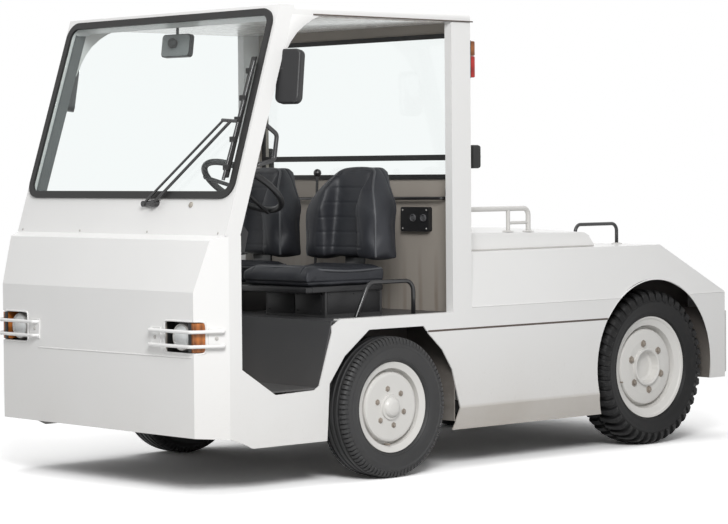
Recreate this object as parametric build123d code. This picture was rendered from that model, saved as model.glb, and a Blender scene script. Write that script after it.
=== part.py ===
from build123d import *
from math import atan, cos, pi, sin, sqrt, radians
import os

# Airport baggage tug. X is across, the front faces -Y, Z = 0 is the ground
# Driving dimensions, in mm
WHEELBASE = 1650
HALF_WIDTH = 690
ROOF_TOP_Z = 1894
FRONT_AXLE_Y = -615
REAR_AXLE_Y = FRONT_AXLE_Y + WHEELBASE
PLATE = 6
SKIRT_Z = 174

# Nose: a box with chamfered corners whose upper part leans back
NOSE_Y = -1574
NOSE_BOTTOM_Z = 227
NOSE_CREASE_Z = 786
LEDGE_Z = 982
NOSE_TOP_Z = 1000
RAKE = 0.32
CORNER_X = 55
CORNER_Y = 132
DOOR_FRONT_Y = NOSE_Y + 194
COWL_Y = NOSE_Y + 117

# Lamps in two pockets round the corners of the nose, and their guards
LAMP_X0 = HALF_WIDTH - 235
LAMP_Z0 = 551
LAMP_Z1 = 674
LAMP_SIDE_Y = NOSE_Y + 46
LAMP_LIMIT_X = HALF_WIDTH - 54
LAMP_DEPTH = 52
LAMP_R = 54
GUARD_Z = (580, 636)
GUARD_BAR_R = 7
GUARD_OUT = 24
GUARD_PLATE = 5

# Windscreen frame: one raked plane up to the roof
PILLAR_DEPTH = 74
PILLAR_WIDTH = 42
ROOF_BOTTOM_Z = ROOF_TOP_Z - 35
GLASS_SILL_Z = 1162
GLASS_HEAD_Z = ROOF_BOTTOM_Z - 1
GLASS_HALF_SILL = HALF_WIDTH - 34
GLASS_HALF_HEAD = HALF_WIDTH - 39
GLASS_CORNER = 45
GLASS = 5
SEAL = 22
SEAL_PROUD = 10

# Wiper and mirrors
WIPER_X = HALF_WIDTH - 470
WIPER_Z = 1122
WIPER_REACH = 411
WIPER_TOP_Z = GLASS_SILL_Z + 0.735 * (GLASS_HEAD_Z - GLASS_SILL_Z)
WIPER_LOW_Z = GLASS_SILL_Z + 52
MIRROR_X = HALF_WIDTH + 25
MIRROR_Z = ROOF_TOP_Z - 280
MIRROR_Y = COWL_Y + (MIRROR_Z - NOSE_TOP_Z) * RAKE + PILLAR_DEPTH + 39.5
MIRROR_SIZE = (106, 36, 214)
MIRROR_LEAN = 8
LEFT_MIRROR_TURN = 20
RIGHT_MIRROR_TURN = -32

# Cab behind the doors
REAR_PILLAR_Y = -240
REAR_PILLAR_DEPTH = 110
REAR_PILLAR_WIDTH = 40
WALL = 20
WALL_Y1 = REAR_PILLAR_Y + REAR_PILLAR_DEPTH
WALL_Y0 = WALL_Y1 - WALL
FLOOR_Z = 388
PLATFORM_Z = 648
FENDER_Z = 654
WINDOW_HALF = HALF_WIDTH - 80
WINDOW_SILL_Z = 1222
WINDOW_HEAD_Z = ROOF_BOTTOM_Z - 59
BAR_Z = 1297
BAR = 24

# Sill, riser and fender of the side, as (y, z)
STEP_REAR = (-1009, 380)
# The step starts this share of the way from the doorway's front edge to its own rear end
STEP_SHARE = 168 / 371
STEP_FRONT = (DOOR_FRONT_Y + STEP_SHARE * (STEP_REAR[0] - DOOR_FRONT_Y), 374)
RISER_BOTTOM = (-984, 395)
RISER_TOP = (-915, 602)
FENDER_FRONT = (-870, FENDER_Z)
SEAM_Z = 583
FRONT_ARCH = [(-392, SEAM_Z), (-410, 605), (-714, 605), (-848, 506), (-930, 400), (-945, SKIRT_Z)]

# Panel between the wheels and the walls inside the arches
SKIRT_FRONT = [(-384, SEAM_Z), (-384, 574), (-304, 502), (-247, 416), (-200, 254), (-218, SKIRT_Z - 14)]
SKIRT_CREASE_Z = 252
SKIRT_IN = 28
MUD_Y = -232
HOUSE_X = HALF_WIDTH - 292
REAR_HOUSE_X = HALF_WIDTH - 222
HOUSE = 5

# Rear body
CREASE_Z = 670
DECK_Z = 898
DECK_HALF = HALF_WIDTH - 50
SIDE_BOTTOM_Z = 278
SLOPE_Y = REAR_AXLE_Y + 91
TAIL_TOP_Z = 673
TAIL_Y = REAR_AXLE_Y + 487
SIDE_STRIP = 56
REAR_ARCH_R = 388
REAR_ARCH_Z = 358
REAR_MUD_Y = REAR_AXLE_Y + 386

# Hood over the engine
HOOD_HALF = HALF_WIDTH - 135
HOOD_FRONT_Y = -112
HOOD_REAR_Y = REAR_AXLE_Y - 258
HOOD_EDGE_FRONT_Z = 976
HOOD_EDGE_REAR_Z = 963
HOOD_CROWN = 16
HOOD_SHEET = 4
HOOD_GAP = 2

# Rails on the hood with legs along Y, and its hinges
RAIL_TUBE_R = 11
HOOD_RAIL_X = HOOD_HALF - 55
HOOD_RAIL_Z = 1074
HOOD_RAIL_LEGS = (-70, 285, 411)
HINGE_Y = HOOD_REAR_Y + 9
HINGE_Z = DECK_Z + 10
HINGE_R = 8
HINGE_PIN_R = 4
HINGE_HALF = 20
HINGE_X = HOOD_HALF - 225

# Hoops on the deck and beside the seats
HANDLE_X = DECK_HALF - 230
HANDLE_Y0 = SLOPE_Y - 314
HANDLE_Y1 = SLOPE_Y - 36
HANDLE_Z = 992
GUARD_X = HALF_WIDTH - 110

# Wheels
FRONT_TYRE_R = 287
FRONT_TYRE_WIDTH = 160
FRONT_RIM_R = 184
FRONT_RIM_WIDTH = 112
FRONT_WHEEL_X = HALF_WIDTH - 28
REAR_TYRE_R = 349
REAR_TYRE_WIDTH = 190
REAR_RIM_R = 228
REAR_RIM_WIDTH = 136
REAR_WHEEL_X = HALF_WIDTH - 102
FLANGE = 5
BEAD_SEAT = 20
FRONT_HUB_R = 52
REAR_HUB_R = 66
RUNNING_FIT = 0.05
# Flat sides of a tyre, and the grooves of the rear tread
TYRE_SIDES = 40
GROOVE_WIDTH = 19
GROOVE_DEPTH = 12
GROOVE_LENGTH = 90
GROOVE_INNER_X = 14
GROOVE_LEAN = 20

# Frame as (low z, high z), lower in front and higher behind
RAIL_X = HALF_WIDTH - 360
RAIL_WIDTH = 60
RAIL_WALL = 8
FRAME_FRONT_Y = NOSE_Y + 34
FRAME_REAR_Y = TAIL_Y - 22
FRAME_LOW = (292, 376)
FRAME_HIGH = (440, 560)
KICK = (-940, -830)
BRACKET = 6

# Engine as a plain block
ENGINE_HALF = 250
ENGINE_Y = (60, HOOD_REAR_Y - 77)
ENGINE_Z = (400, 850)

# Axles, springs and steering
BEAM_HALF = 34
BEAM_WIDTH = 64
HOUSING_R = 52
FRONT_SPRING = 420
REAR_SPRING = 700
LEAF = 9
STEER_AXIS_X = FRONT_WHEEL_X - 72
PIVOT_R = 14
FORK_GAP = 1
FORK = 20
SPINDLE_R = 22
SPINDLE_END = FRONT_WHEEL_X + 54
ARM_LENGTH = 90
ARM = 14
AXLE_END_R = 34
AXLE_END = REAR_WHEEL_X + 4
SHAFT_Z = 440
PROP_SHAFT_R = 22

# Seats: cushion and bucket back of each, on its own box
SEAT_X = HALF_WIDTH - 388
CUSHION_WIDTH = 430
CUSHION_FRONT_Y = -902
CUSHION_REAR_Y = -442
BACK_HALF = 231
BACK_LOW_Z = 868
BACK_TOP_Z = 1272
SEAT_BASE_TOP_Z = 775
SEAT_BASE_X = (SEAT_X - 172, SEAT_X + 198)
SEAT_BASE_Y = (-782, -467)

# Steering wheel and column
STEER_X = SEAT_X - 9
STEER_Y = -1038
STEER_Z = 1186
STEER_R = 185
STEER_GRIP_R = 13
STEER_TILT = 35
HUB_LOW = 42
HUB_GAP = 1
SHAFT_R = 12
SHAFT_LENGTH = 70
COLUMN_LENGTH = 660

# Tow jaw
HITCH_Z = 352
HITCH_Y = TAIL_Y + 56
HITCH_PIN_R = 14


def save(name, shape):
    """Write one node."""
    export_step(shape, f"parts/{name}.step")


def side_plate(points, x0, x1, radius=0):
    """A plate between x0 and x1 with an outline given as (y, z) points."""
    outline = make_face(Polyline(*points, close=True))
    if radius:
        outline = fillet(outline.vertices(), radius)
    plane = Plane(origin=(x0, 0, 0), x_dir=(0, 1, 0), z_dir=(1, 0, 0))
    return extrude(plane * outline, amount=x1 - x0)


def cross_bar(points, y0, y1):
    """A bar between y0 and y1 with an outline given as (x, z) points."""
    outline = make_face(Polyline(*points, close=True))
    plane = Plane(origin=(0, y0, 0), x_dir=(1, 0, 0), z_dir=(0, -1, 0))
    return extrude(plane * outline, amount=y0 - y1)


def floor_plan(points, z0, z1):
    """A block between z0 and z1 with an outline given as (x, y) points."""
    outline = make_face(Polyline(*points, close=True))
    return extrude(Pos(0, 0, z0) * outline, amount=z1 - z0)


def block(x0, x1, y0, y1, z0, z1):
    """A plain block between two corners."""
    size = Box(x1 - x0, y1 - y0, z1 - z0)
    return Pos((x0 + x1) / 2, (y0 + y1) / 2, (z0 + z1) / 2) * size


def tube(points, radius, bend):
    """A round tube along a bent line."""
    path = FilletPolyline(*points, radius=bend) if bend else Polyline(*points)
    start = Plane(origin=path @ 0, z_dir=path % 0)
    return sweep(start * Circle(radius), path=path)


def rod(start, end, radius):
    """A straight round rod from one point to another."""
    axis = Vector(*end) - Vector(*start)
    plane = Plane(origin=start, z_dir=axis)
    return extrude(plane * Circle(radius), amount=axis.length)


def other_side(shape):
    """The same piece on the other side of the tug."""
    return mirror(shape, about=Plane.YZ)


def pair(shape):
    """A piece and its twin on the other side."""
    return Compound(children=[shape, other_side(shape)])


def screen_y(z):
    """Front plane of the windscreen frame at a height."""
    return COWL_Y + (z - NOSE_TOP_Z) * RAKE


def nose():
    """Lower front of the cab, open at the back and below."""
    ledge_y = NOSE_Y + (LEDGE_Z - NOSE_CREASE_Z) * RAKE

    def hull(t):
        profile = [
            (NOSE_Y + t, NOSE_BOTTOM_Z - 100 * (t > 0)),
            (NOSE_Y + t, NOSE_CREASE_Z),
            (ledge_y + t, LEDGE_Z),
            (COWL_Y + t, NOSE_TOP_Z - t),
            (DOOR_FRONT_Y + 100 * (t > 0), NOSE_TOP_Z - t),
            (DOOR_FRONT_Y + 100 * (t > 0), NOSE_BOTTOM_Z - 30 - 70 * (t > 0)),
            (NOSE_Y + CORNER_Y, NOSE_BOTTOM_Z - 10 - 90 * (t > 0)),
        ]
        half = HALF_WIDTH - t
        front = half - CORNER_X
        plan = [
            (-front, NOSE_Y + t),
            (front, NOSE_Y + t),
            (half, NOSE_Y + t + CORNER_Y),
            (half, -1000),
            (-half, -1000),
            (-half, NOSE_Y + t + CORNER_Y),
        ]
        return side_plate(profile, -half, half) & floor_plan(plan, 0, 1200)

    shell = hull(0) - hull(PLATE)
    inner = HALF_WIDTH - PILLAR_WIDTH
    shell -= block(-inner, inner, COWL_Y + PLATE, DOOR_FRONT_Y + 180, NOSE_TOP_Z - 12, NOSE_TOP_Z + 10)
    return shell - lamp_pockets(0)


def lamp_pockets(gap):
    """The two openings for the lamps, cut round the corners of the nose."""
    outline = RectangleRounded(400, LAMP_Z1 - LAMP_Z0 + 2 * gap, 24)
    centre = (LAMP_X0 + 200 - gap, NOSE_Y - 60, (LAMP_Z0 + LAMP_Z1) / 2)
    plane = Plane(origin=centre, x_dir=(1, 0, 0), z_dir=(0, 1, 0))
    cut = extrude(plane * outline, amount=60 + LAMP_SIDE_Y - NOSE_Y + gap)
    return pair(cut)


def windscreen_frame():
    """Corner posts, header and cowl in one raked frame."""
    top = ROOF_TOP_Z
    profile = [
        (screen_y(NOSE_TOP_Z), NOSE_TOP_Z),
        (screen_y(top), top),
        (screen_y(top) + PILLAR_DEPTH, top),
        (screen_y(top) + PILLAR_DEPTH, ROOF_BOTTOM_Z),
        (screen_y(ROOF_BOTTOM_Z) + PILLAR_DEPTH, ROOF_BOTTOM_Z),
        (screen_y(NOSE_TOP_Z) + PILLAR_DEPTH, NOSE_TOP_Z),
    ]
    frame = side_plate(profile, -HALF_WIDTH, HALF_WIDTH)
    frame -= opening_prism(0, 300, -100)
    hollow = [
        (screen_y(NOSE_TOP_Z - 20) + PLATE, NOSE_TOP_Z - 20),
        (screen_y(ROOF_BOTTOM_Z - 30) + PLATE, ROOF_BOTTOM_Z - 30),
        (screen_y(ROOF_BOTTOM_Z - 30) + 200, ROOF_BOTTOM_Z - 30),
        (screen_y(NOSE_TOP_Z - 20) + 200, NOSE_TOP_Z - 20),
    ]
    inner = HALF_WIDTH - PILLAR_WIDTH
    return frame - side_plate(hollow, -inner, inner)


def opening_prism(grow, depth, lead):
    """Prism of the windscreen opening, square to the glass."""
    slant = 1 / cos(atan(RAKE))
    height = (GLASS_HEAD_Z - GLASS_SILL_Z) * slant
    centre_z = (GLASS_HEAD_Z + GLASS_SILL_Z) / 2
    points = [
        (-GLASS_HALF_SILL - grow, -height / 2 - grow),
        (GLASS_HALF_SILL + grow, -height / 2 - grow),
        (GLASS_HALF_HEAD + grow, height / 2 + grow),
        (-GLASS_HALF_HEAD - grow, height / 2 + grow),
    ]
    outline = make_face(Polyline(*points, close=True))
    outline = fillet(outline.vertices(), GLASS_CORNER + grow)
    inward = Vector(0, 1, -RAKE).normalized()
    origin = Vector(0, screen_y(centre_z), centre_z) + inward * lead
    plane = Plane(origin=origin, x_dir=(-1, 0, 0), z_dir=inward)
    return extrude(plane * outline, amount=depth)


def windscreen_glass():
    """Flat glass in the middle of its seal."""
    return opening_prism(-0.3, GLASS, 2)


def windscreen_seal():
    """Rubber ring round the glass, on the face of the frame."""
    ring = opening_prism(SEAL, SEAL_PROUD, -SEAL_PROUD)
    return ring - opening_prism(-6, 60, -30)


def roof():
    """Flat roof panel with rounded edges."""
    front = screen_y(ROOF_TOP_Z) + PILLAR_DEPTH
    rear = REAR_PILLAR_Y + REAR_PILLAR_DEPTH
    panel = block(-HALF_WIDTH, HALF_WIDTH, front, rear, ROOF_BOTTOM_Z, ROOF_TOP_Z)
    edges = panel.edges().filter_by(Axis.Y).sort_by(Axis.Z)[-2:]
    return fillet(edges, 18)


def rear_pillars():
    """Door posts that carry the back of the roof."""
    inner = HALF_WIDTH - REAR_PILLAR_WIDTH
    rear = REAR_PILLAR_Y + REAR_PILLAR_DEPTH
    return pair(block(inner, HALF_WIDTH, REAR_PILLAR_Y, rear, FENDER_Z, ROOF_BOTTOM_Z))


def window_prism(grow, y0, y1):
    """Prism of the rear window opening."""
    width = 2 * WINDOW_HALF + 2 * grow
    height = WINDOW_HEAD_Z - WINDOW_SILL_Z + 2 * grow
    outline = RectangleRounded(width, height, 40 + grow)
    middle = (WINDOW_HEAD_Z + WINDOW_SILL_Z) / 2
    plane = Plane(origin=(0, y0, middle), x_dir=(1, 0, 0), z_dir=(0, 1, 0))
    return extrude(plane * outline, amount=y1 - y0)


def cab_back():
    """Back wall of the cab with its window cut."""
    inner = HALF_WIDTH - REAR_PILLAR_WIDTH
    wall = block(-inner, inner, WALL_Y0, WALL_Y1, PLATFORM_Z, ROOF_BOTTOM_Z)
    return wall - window_prism(0, WALL_Y0 - 10, WALL_Y1 + 10)


def rear_window():
    """Glass of the back wall."""
    middle = (WALL_Y0 + WALL_Y1) / 2
    return window_prism(-0.3, middle - GLASS / 2, middle + GLASS / 2)


def rear_window_seal():
    """Rubber ring on the inside of the wall, with the cross bar."""
    ring = window_prism(16, WALL_Y0 - 8, WALL_Y0) - window_prism(-4, WALL_Y0 - 20, WALL_Y0 + 20)
    bar = block(-WINDOW_HALF, WINDOW_HALF, WALL_Y0 - 8, WALL_Y0, BAR_Z - BAR / 2, BAR_Z + BAR / 2)
    return ring + bar


def cab_floor():
    """Foot well floor, riser and seat platform in one bent sheet."""
    inner = HALF_WIDTH - PLATE
    profile = [
        (NOSE_Y + PLATE, FLOOR_Z),
        (RISER_BOTTOM[0], FLOOR_Z),
        (RISER_TOP[0], PLATFORM_Z),
        (WALL_Y1, PLATFORM_Z),
        (WALL_Y1, PLATFORM_Z - PLATE),
        (RISER_TOP[0] + PLATE, PLATFORM_Z - PLATE),
        (RISER_BOTTOM[0] + PLATE, FLOOR_Z - PLATE),
        (NOSE_Y + PLATE, FLOOR_Z - PLATE),
    ]
    sheet = side_plate(profile, -inner, inner)
    front = inner - CORNER_X
    plan = [
        (-front, NOSE_Y + PLATE),
        (front, NOSE_Y + PLATE),
        (inner, NOSE_Y + PLATE + CORNER_Y),
        (inner, 0),
        (-inner, 0),
        (-inner, NOSE_Y + PLATE + CORNER_Y),
    ]
    return sheet & floor_plan(plan, 0, 1200)


def front_side():
    """Sill and front fender of one side, with the open wheel arch."""
    outline = [
        (DOOR_FRONT_Y, 482),
        STEP_FRONT,
        STEP_REAR,
        RISER_BOTTOM,
        RISER_TOP,
        (RISER_TOP[0], 628),
        FENDER_FRONT,
        (WALL_Y1, FENDER_Z),
        (WALL_Y1, SEAM_Z),
        *FRONT_ARCH,
        (DOOR_FRONT_Y + 51, SKIRT_Z),
        (DOOR_FRONT_Y, 197),
    ]
    plate = side_plate(outline, HALF_WIDTH - PLATE, HALF_WIDTH)
    shelf_x = HALF_WIDTH - REAR_PILLAR_WIDTH
    shelf = block(shelf_x, HALF_WIDTH - PLATE, FENDER_FRONT[0], WALL_Y1, PLATFORM_Z, FENDER_Z)
    return plate + shelf


def wheel_houses():
    """Inner walls and mud guards of the wheel arches."""
    top = PLATFORM_Z - PLATE
    side = HALF_WIDTH - PLATE
    notch = (FRONT_AXLE_Y - 90, FRONT_AXLE_Y + 170)
    outline = [
        (RISER_BOTTOM[0] + PLATE + 12, 400),
        (RISER_TOP[0] + PLATE + 2, top),
        (MUD_Y, top),
        (MUD_Y, 240),
        (notch[1], 240),
        (notch[1], 370),
        (notch[0], 370),
        (notch[0], 400),
    ]
    front = side_plate(outline, HOUSE_X, HOUSE_X + HOUSE)
    front += block(HOUSE_X, side, MUD_Y, MUD_Y + HOUSE, 200, top)
    wall_y = REAR_AXLE_Y - 392
    deck = DECK_Z - PLATE
    outline = [
        (wall_y, 430),
        (wall_y, deck),
        (SLOPE_Y, deck),
        (TAIL_Y - PLATE, TAIL_TOP_Z - PLATE),
        (TAIL_Y - PLATE, 430),
    ]
    rear = side_plate(outline, REAR_HOUSE_X, REAR_HOUSE_X + HOUSE) & body_hull(PLATE)
    rear += block(REAR_HOUSE_X, side, REAR_MUD_Y, REAR_MUD_Y + HOUSE, SIDE_BOTTOM_Z, 600)
    return Compound(children=[front, other_side(front), rear, other_side(rear)])


def side_skirt():
    """Removable panel between the wheels, with an inward lower edge."""
    bottom = SKIRT_FRONT[-1][1]
    outline = [*SKIRT_FRONT, (REAR_AXLE_Y, bottom), (REAR_AXLE_Y, SEAM_Z)]
    block_of_side = side_plate(outline, HALF_WIDTH - 40, HALF_WIDTH)
    section = [
        (HALF_WIDTH, SEAM_Z),
        (HALF_WIDTH, SKIRT_CREASE_Z),
        (HALF_WIDTH - SKIRT_IN, bottom),
        (HALF_WIDTH - SKIRT_IN - PLATE, bottom),
        (HALF_WIDTH - PLATE, SKIRT_CREASE_Z),
        (HALF_WIDTH - PLATE, SEAM_Z),
    ]
    skirt = block_of_side & cross_bar(section, -500, REAR_AXLE_Y + 200)
    return skirt - rear_arch()


def rear_arch():
    """Cutter for the rear wheel openings."""
    plane = Plane(origin=(-900, REAR_AXLE_Y, REAR_ARCH_Z), x_dir=(0, 1, 0), z_dir=(1, 0, 0))
    return extrude(plane * Circle(REAR_ARCH_R), amount=1800)


def body_hull(t):
    """Outer form of the rear body, or its hollow for a wall t."""
    low = SIDE_BOTTOM_Z - 200 * (t > 0)
    half = HALF_WIDTH - t
    section = [
        (-half, low),
        (half, low),
        (half, CREASE_Z),
        (DECK_HALF - t, DECK_Z - t),
        (-DECK_HALF + t, DECK_Z - t),
        (-half, CREASE_Z),
    ]
    front = WALL_Y1 - 100 * (t > 0)
    profile = [
        (front, low),
        (front, DECK_Z - t),
        (SLOPE_Y, DECK_Z - t),
        (TAIL_Y - t, TAIL_TOP_Z - t),
        (TAIL_Y - t, low),
    ]
    return cross_bar(section, front, TAIL_Y) & side_plate(profile, -half, half)


def rear_shell():
    """Sheet body behind the cab with wheel arches and engine opening."""
    shell = body_hull(0) - body_hull(PLATE) - rear_arch()
    shell -= block(-HALF_WIDTH, HALF_WIDTH, WALL_Y1 - 10, REAR_AXLE_Y, 0, SEAM_Z)
    inner = HOOD_HALF - 30
    shell -= block(-inner, inner, HOOD_FRONT_Y + 40, HOOD_REAR_Y - 60, DECK_Z - 20, DECK_Z + 20)
    return shell


def hood_form(t):
    """Solid form of the hood: a crowned section drawn along its falling top."""
    half = HOOD_HALF - t
    side = HOOD_EDGE_FRONT_Z - t
    low = DECK_Z - 120
    crown = ThreePointArc((-half, side), (0, side + HOOD_CROWN), (half, side))
    sides = Polyline((half, side), (half, low), (-half, low), (-half, side))
    plane = Plane(origin=(0, HOOD_FRONT_Y + t, 0), x_dir=(1, 0, 0), z_dir=(0, -1, 0))
    length = HOOD_REAR_Y - HOOD_FRONT_Y - 2 * t
    along = Vector(0, 1, -hood_fall())
    body = extrude(plane * make_face(crown + sides), amount=length * along.length, dir=along)
    front = HOOD_FRONT_Y + t
    rear = HOOD_REAR_Y - t
    floor = DECK_Z + HOOD_GAP - (60 if t else 0)
    profile = [
        (front, floor),
        (front, 1200),
        (rear - 90, 1200),
        (rear - 90, HOOD_EDGE_REAR_Z + 12),
        (rear - 36, HOOD_EDGE_REAR_Z - 14),
        (rear, DECK_Z + 8),
        (rear, floor),
    ]
    return body & side_plate(profile, -half, half)


def hood():
    """Engine hood: an open tray turned over, with its hinge leaves."""
    return hood_form(0) - hood_form(HOOD_SHEET) + hood_hinges()


def hood_rail():
    """Tube rail on one side of the hood."""
    front, middle, rear = HOOD_RAIL_LEGS
    foot = DECK_Z + 60
    points = [(HOOD_RAIL_X, front, foot), (HOOD_RAIL_X, front, HOOD_RAIL_Z)]
    points += [(HOOD_RAIL_X, rear, HOOD_RAIL_Z), (HOOD_RAIL_X, rear, foot)]
    rail = tube(points, RAIL_TUBE_R, 30)
    rail += rod((HOOD_RAIL_X, middle, foot), (HOOD_RAIL_X, middle, HOOD_RAIL_Z), RAIL_TUBE_R - 2)
    rail += rod((HOOD_RAIL_X, middle, 1012), (HOOD_RAIL_X, rear, 1012), RAIL_TUBE_R - 4)
    return split(rail, bisect_by=hood_top_plane(), keep=Keep.TOP)


def hood_top_plane():
    """Plane that touches the top of the hood under a rail."""
    radius = (HOOD_HALF**2 + HOOD_CROWN**2) / (2 * HOOD_CROWN)
    rise = sqrt(radius**2 - HOOD_RAIL_X**2)
    z = HOOD_EDGE_FRONT_Z + HOOD_CROWN - radius + rise
    normal = Vector(HOOD_RAIL_X / rise, hood_fall(), 1)
    return Plane(origin=(HOOD_RAIL_X, HOOD_FRONT_Y, z + 0.05), z_dir=normal)


def hood_fall():
    """Fall of the hood's top for each millimetre towards the back."""
    return (HOOD_EDGE_FRONT_Z - HOOD_EDGE_REAR_Z) / (HOOD_REAR_Y - 120 - HOOD_FRONT_Y)


def hinge_rod(half, radius):
    """Round bar on the hinge line."""
    return rod((HINGE_X - half, HINGE_Y, HINGE_Z), (HINGE_X + half, HINGE_Y, HINGE_Z), radius)


def hood_hinges():
    """Leaves and barrels that belong to the hood."""
    half = HINGE_HALF
    leaf = block(HINGE_X - half, HINGE_X + half, HOOD_REAR_Y - 2, HINGE_Y, HINGE_Z - 3, HINGE_Z + 3)
    hinge = leaf + hinge_rod(half, HINGE_R) - hinge_rod(half + 10, HINGE_PIN_R + RUNNING_FIT)
    hinge -= block(0, HOOD_HALF, HOOD_REAR_Y - 10, HOOD_REAR_Y, 0, 2000)
    return pair(hinge)


def deck_hinges():
    """Brackets and pins on the deck."""
    bracket = hinge_rod(HINGE_HALF + 14, HINGE_PIN_R)
    for side in (-1, 1):
        x0 = HINGE_X + side * (HINGE_HALF + 8)
        bracket += block(x0 - 6, x0 + 6, HINGE_Y - 6, HINGE_Y + 10, DECK_Z, HINGE_Z + 6)
    return pair(bracket)


def deck_handle():
    """Hand hoop on the left of the rear deck."""
    points = [(HANDLE_X, HANDLE_Y0, DECK_Z), (HANDLE_X, HANDLE_Y0, HANDLE_Z)]
    points += [(HANDLE_X, HANDLE_Y1, HANDLE_Z), (HANDLE_X, HANDLE_Y1, DECK_Z)]
    return tube(points, 8, 34)


def seat_guard():
    """Hoop on the platform beside the seat."""
    points = [(GUARD_X, -686, PLATFORM_Z), (GUARD_X, -614, 788)]
    points += [(GUARD_X, -363, 788), (GUARD_X, -363, PLATFORM_Z)]
    hoop = tube(points, 9, 45)
    return hoop - block(GUARD_X - 50, GUARD_X + 50, -800, 0, 0, PLATFORM_Z)


def wall_rail():
    """Tube along the back wall behind the seats."""
    half = WINDOW_HALF - 50
    y = WALL_Y0 - 26
    points = [(-half, WALL_Y0, 1120), (-half, y, 1120), (half, y, 1126), (half, WALL_Y0, 1126)]
    return tube(points, 7, 14)


def seat_base():
    """Box under each seat, open below."""
    x0, x1 = SEAT_BASE_X
    y0, y1 = SEAT_BASE_Y
    outer = block(x0, x1, y0, y1, PLATFORM_Z, SEAT_BASE_TOP_Z)
    return pair(outer - block(x0 + 4, x1 - 4, y0 + 4, y1 - 4, PLATFORM_Z - 10, SEAT_BASE_TOP_Z - 4))


def seat_cushion():
    """Plain seat cushion with a thigh roll in front."""
    x0 = SEAT_X - CUSHION_WIDTH / 2
    z0 = SEAT_BASE_TOP_Z + 0.3
    front = CUSHION_FRONT_Y
    profile = [(front + 14, z0), (front, z0 + 30), (front + 6, z0 + 66), (front + 60, z0 + 82)]
    profile += [(-600, z0 + 64), (CUSHION_REAR_Y, z0 + 84), (CUSHION_REAR_Y, z0)]
    body = side_plate(profile, x0, x0 + CUSHION_WIDTH)
    corners = body.edges().filter_by(Axis.X).sort_by(Axis.Z)[-1:]
    return fillet(corners, 15)


def seat_back():
    """Plain bucket backrest with two side wings, on its bracket."""
    low = BACK_LOW_Z
    top = BACK_TOP_Z
    side = [(-525, low), (-531, low + 32), (-531, low + 220), (-500, low + 300), (-430, top - 16)]
    side += [(-404, top), (-346, top), (-330, top - 24), (-378, low + 170), (-382, low)]
    half = BACK_HALF
    shoulders = [(half - 6, low), (half, low + 34), (half, low + 190), (half - 20, low + 252)]
    shoulders += [(half - 60, low + 312), (half - 92, low + 362), (half - 124, top)]
    outline = shoulders + [(-x, z) for x, z in reversed(shoulders)]
    outline = [(x + SEAT_X, z) for x, z in outline]
    bucket = side_plate(side, SEAT_X - half, SEAT_X + half) & cross_bar(outline, -600, -300)
    panel = [(-600, low - 1), (-478, low - 1), (-424, top - 20), (-600, top - 20)]
    bucket -= side_plate(panel, SEAT_X - 96, SEAT_X + 96)
    x0 = SEAT_X - 60
    x1 = SEAT_X + 60
    bracket = block(x0, x1, SEAT_BASE_Y[1], CUSHION_REAR_Y + 14, 740, 765)
    bracket += block(x0, x1, CUSHION_REAR_Y + 4, CUSHION_REAR_Y + 14, 740, low + 30)
    return bucket + bracket


def dashboard():
    """Shelf and instrument hood under the windscreen."""
    inner = HALF_WIDTH - PILLAR_WIDTH - 8
    back = screen_y(NOSE_TOP_Z) + PLATE
    front = back + 0.3
    profile = [
        (front, 960),
        (front, NOSE_TOP_Z),
        (front + (1078 - NOSE_TOP_Z) * RAKE, 1078),
        (back + 90, 1078),
        (back + 150, 1010),
        (back + 130, 930),
    ]
    shelf = side_plate(profile, -inner, inner)
    hood_profile = [(back + 50, 1050), (back + 60, 1110), (back + 140, 1118), (back + 165, 1040)]
    return shelf + side_plate(hood_profile, STEER_X - 160, STEER_X + 160)


def steer_axis(distance):
    """A point on the steering column's line, measured from the wheel."""
    drop = radians(STEER_TILT)
    return (STEER_X, STEER_Y - distance * sin(drop), STEER_Z - distance * cos(drop))


def steering_wheel():
    """Rim, three spokes and hub about a leaning axis."""
    plane = Plane(origin=(STEER_X, STEER_Y, STEER_Z), x_dir=(1, 0, 0), z_dir=steer_up())
    ring = plane * Torus(STEER_R - STEER_GRIP_R, STEER_GRIP_R)
    hub = plane * Pos(0, 0, -20) * Cylinder(34, 44)
    wheel = ring + hub
    for angle in (90, 210, 330):
        spoke = Pos(0, 0, -14) * Rot(0, 0, angle) * Pos(88, 0, 0) * Box(172, 20, 9)
        wheel += plane * spoke
    return wheel + rod(steer_axis(HUB_LOW - 12), steer_axis(HUB_LOW + SHAFT_LENGTH - 5), SHAFT_R)


def steer_up():
    """Direction of the steering axis, up towards the driver."""
    tilt = radians(STEER_TILT)
    return (0, sin(tilt), cos(tilt))


def steering_column():
    """Column tube down to the steering box on the floor."""
    tube_part = rod(steer_axis(HUB_LOW + HUB_GAP), steer_axis(COLUMN_LENGTH), 26)
    tube_part -= rod(steer_axis(0), steer_axis(HUB_LOW + SHAFT_LENGTH), SHAFT_R + RUNNING_FIT)
    foot = steer_axis(COLUMN_LENGTH)
    box = block(STEER_X - 50, STEER_X + 50, foot[1] - 60, foot[1] + 60, FLOOR_Z, foot[2] + 40)
    return tube_part + box


def pedals():
    """Three pedals on the foot well floor."""
    # x of each pedal, pad width
    table = ((STEER_X - 150, 60), (STEER_X + 105, 60), (STEER_X + 200, 46))
    foot_y = NOSE_Y + 174
    parts = []
    for x, width in table:
        arm = rod((x, foot_y, FLOOR_Z), (x, foot_y + 50, 500), 7)
        pad = Pos(x, foot_y + 54, 508) * Rot(-40, 0, 0) * Box(width, 12, 78)
        parts.append((arm + pad) - block(x - 90, x + 90, foot_y - 100, foot_y + 200, 0, FLOOR_Z))
    return Compound(children=parts)


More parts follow.
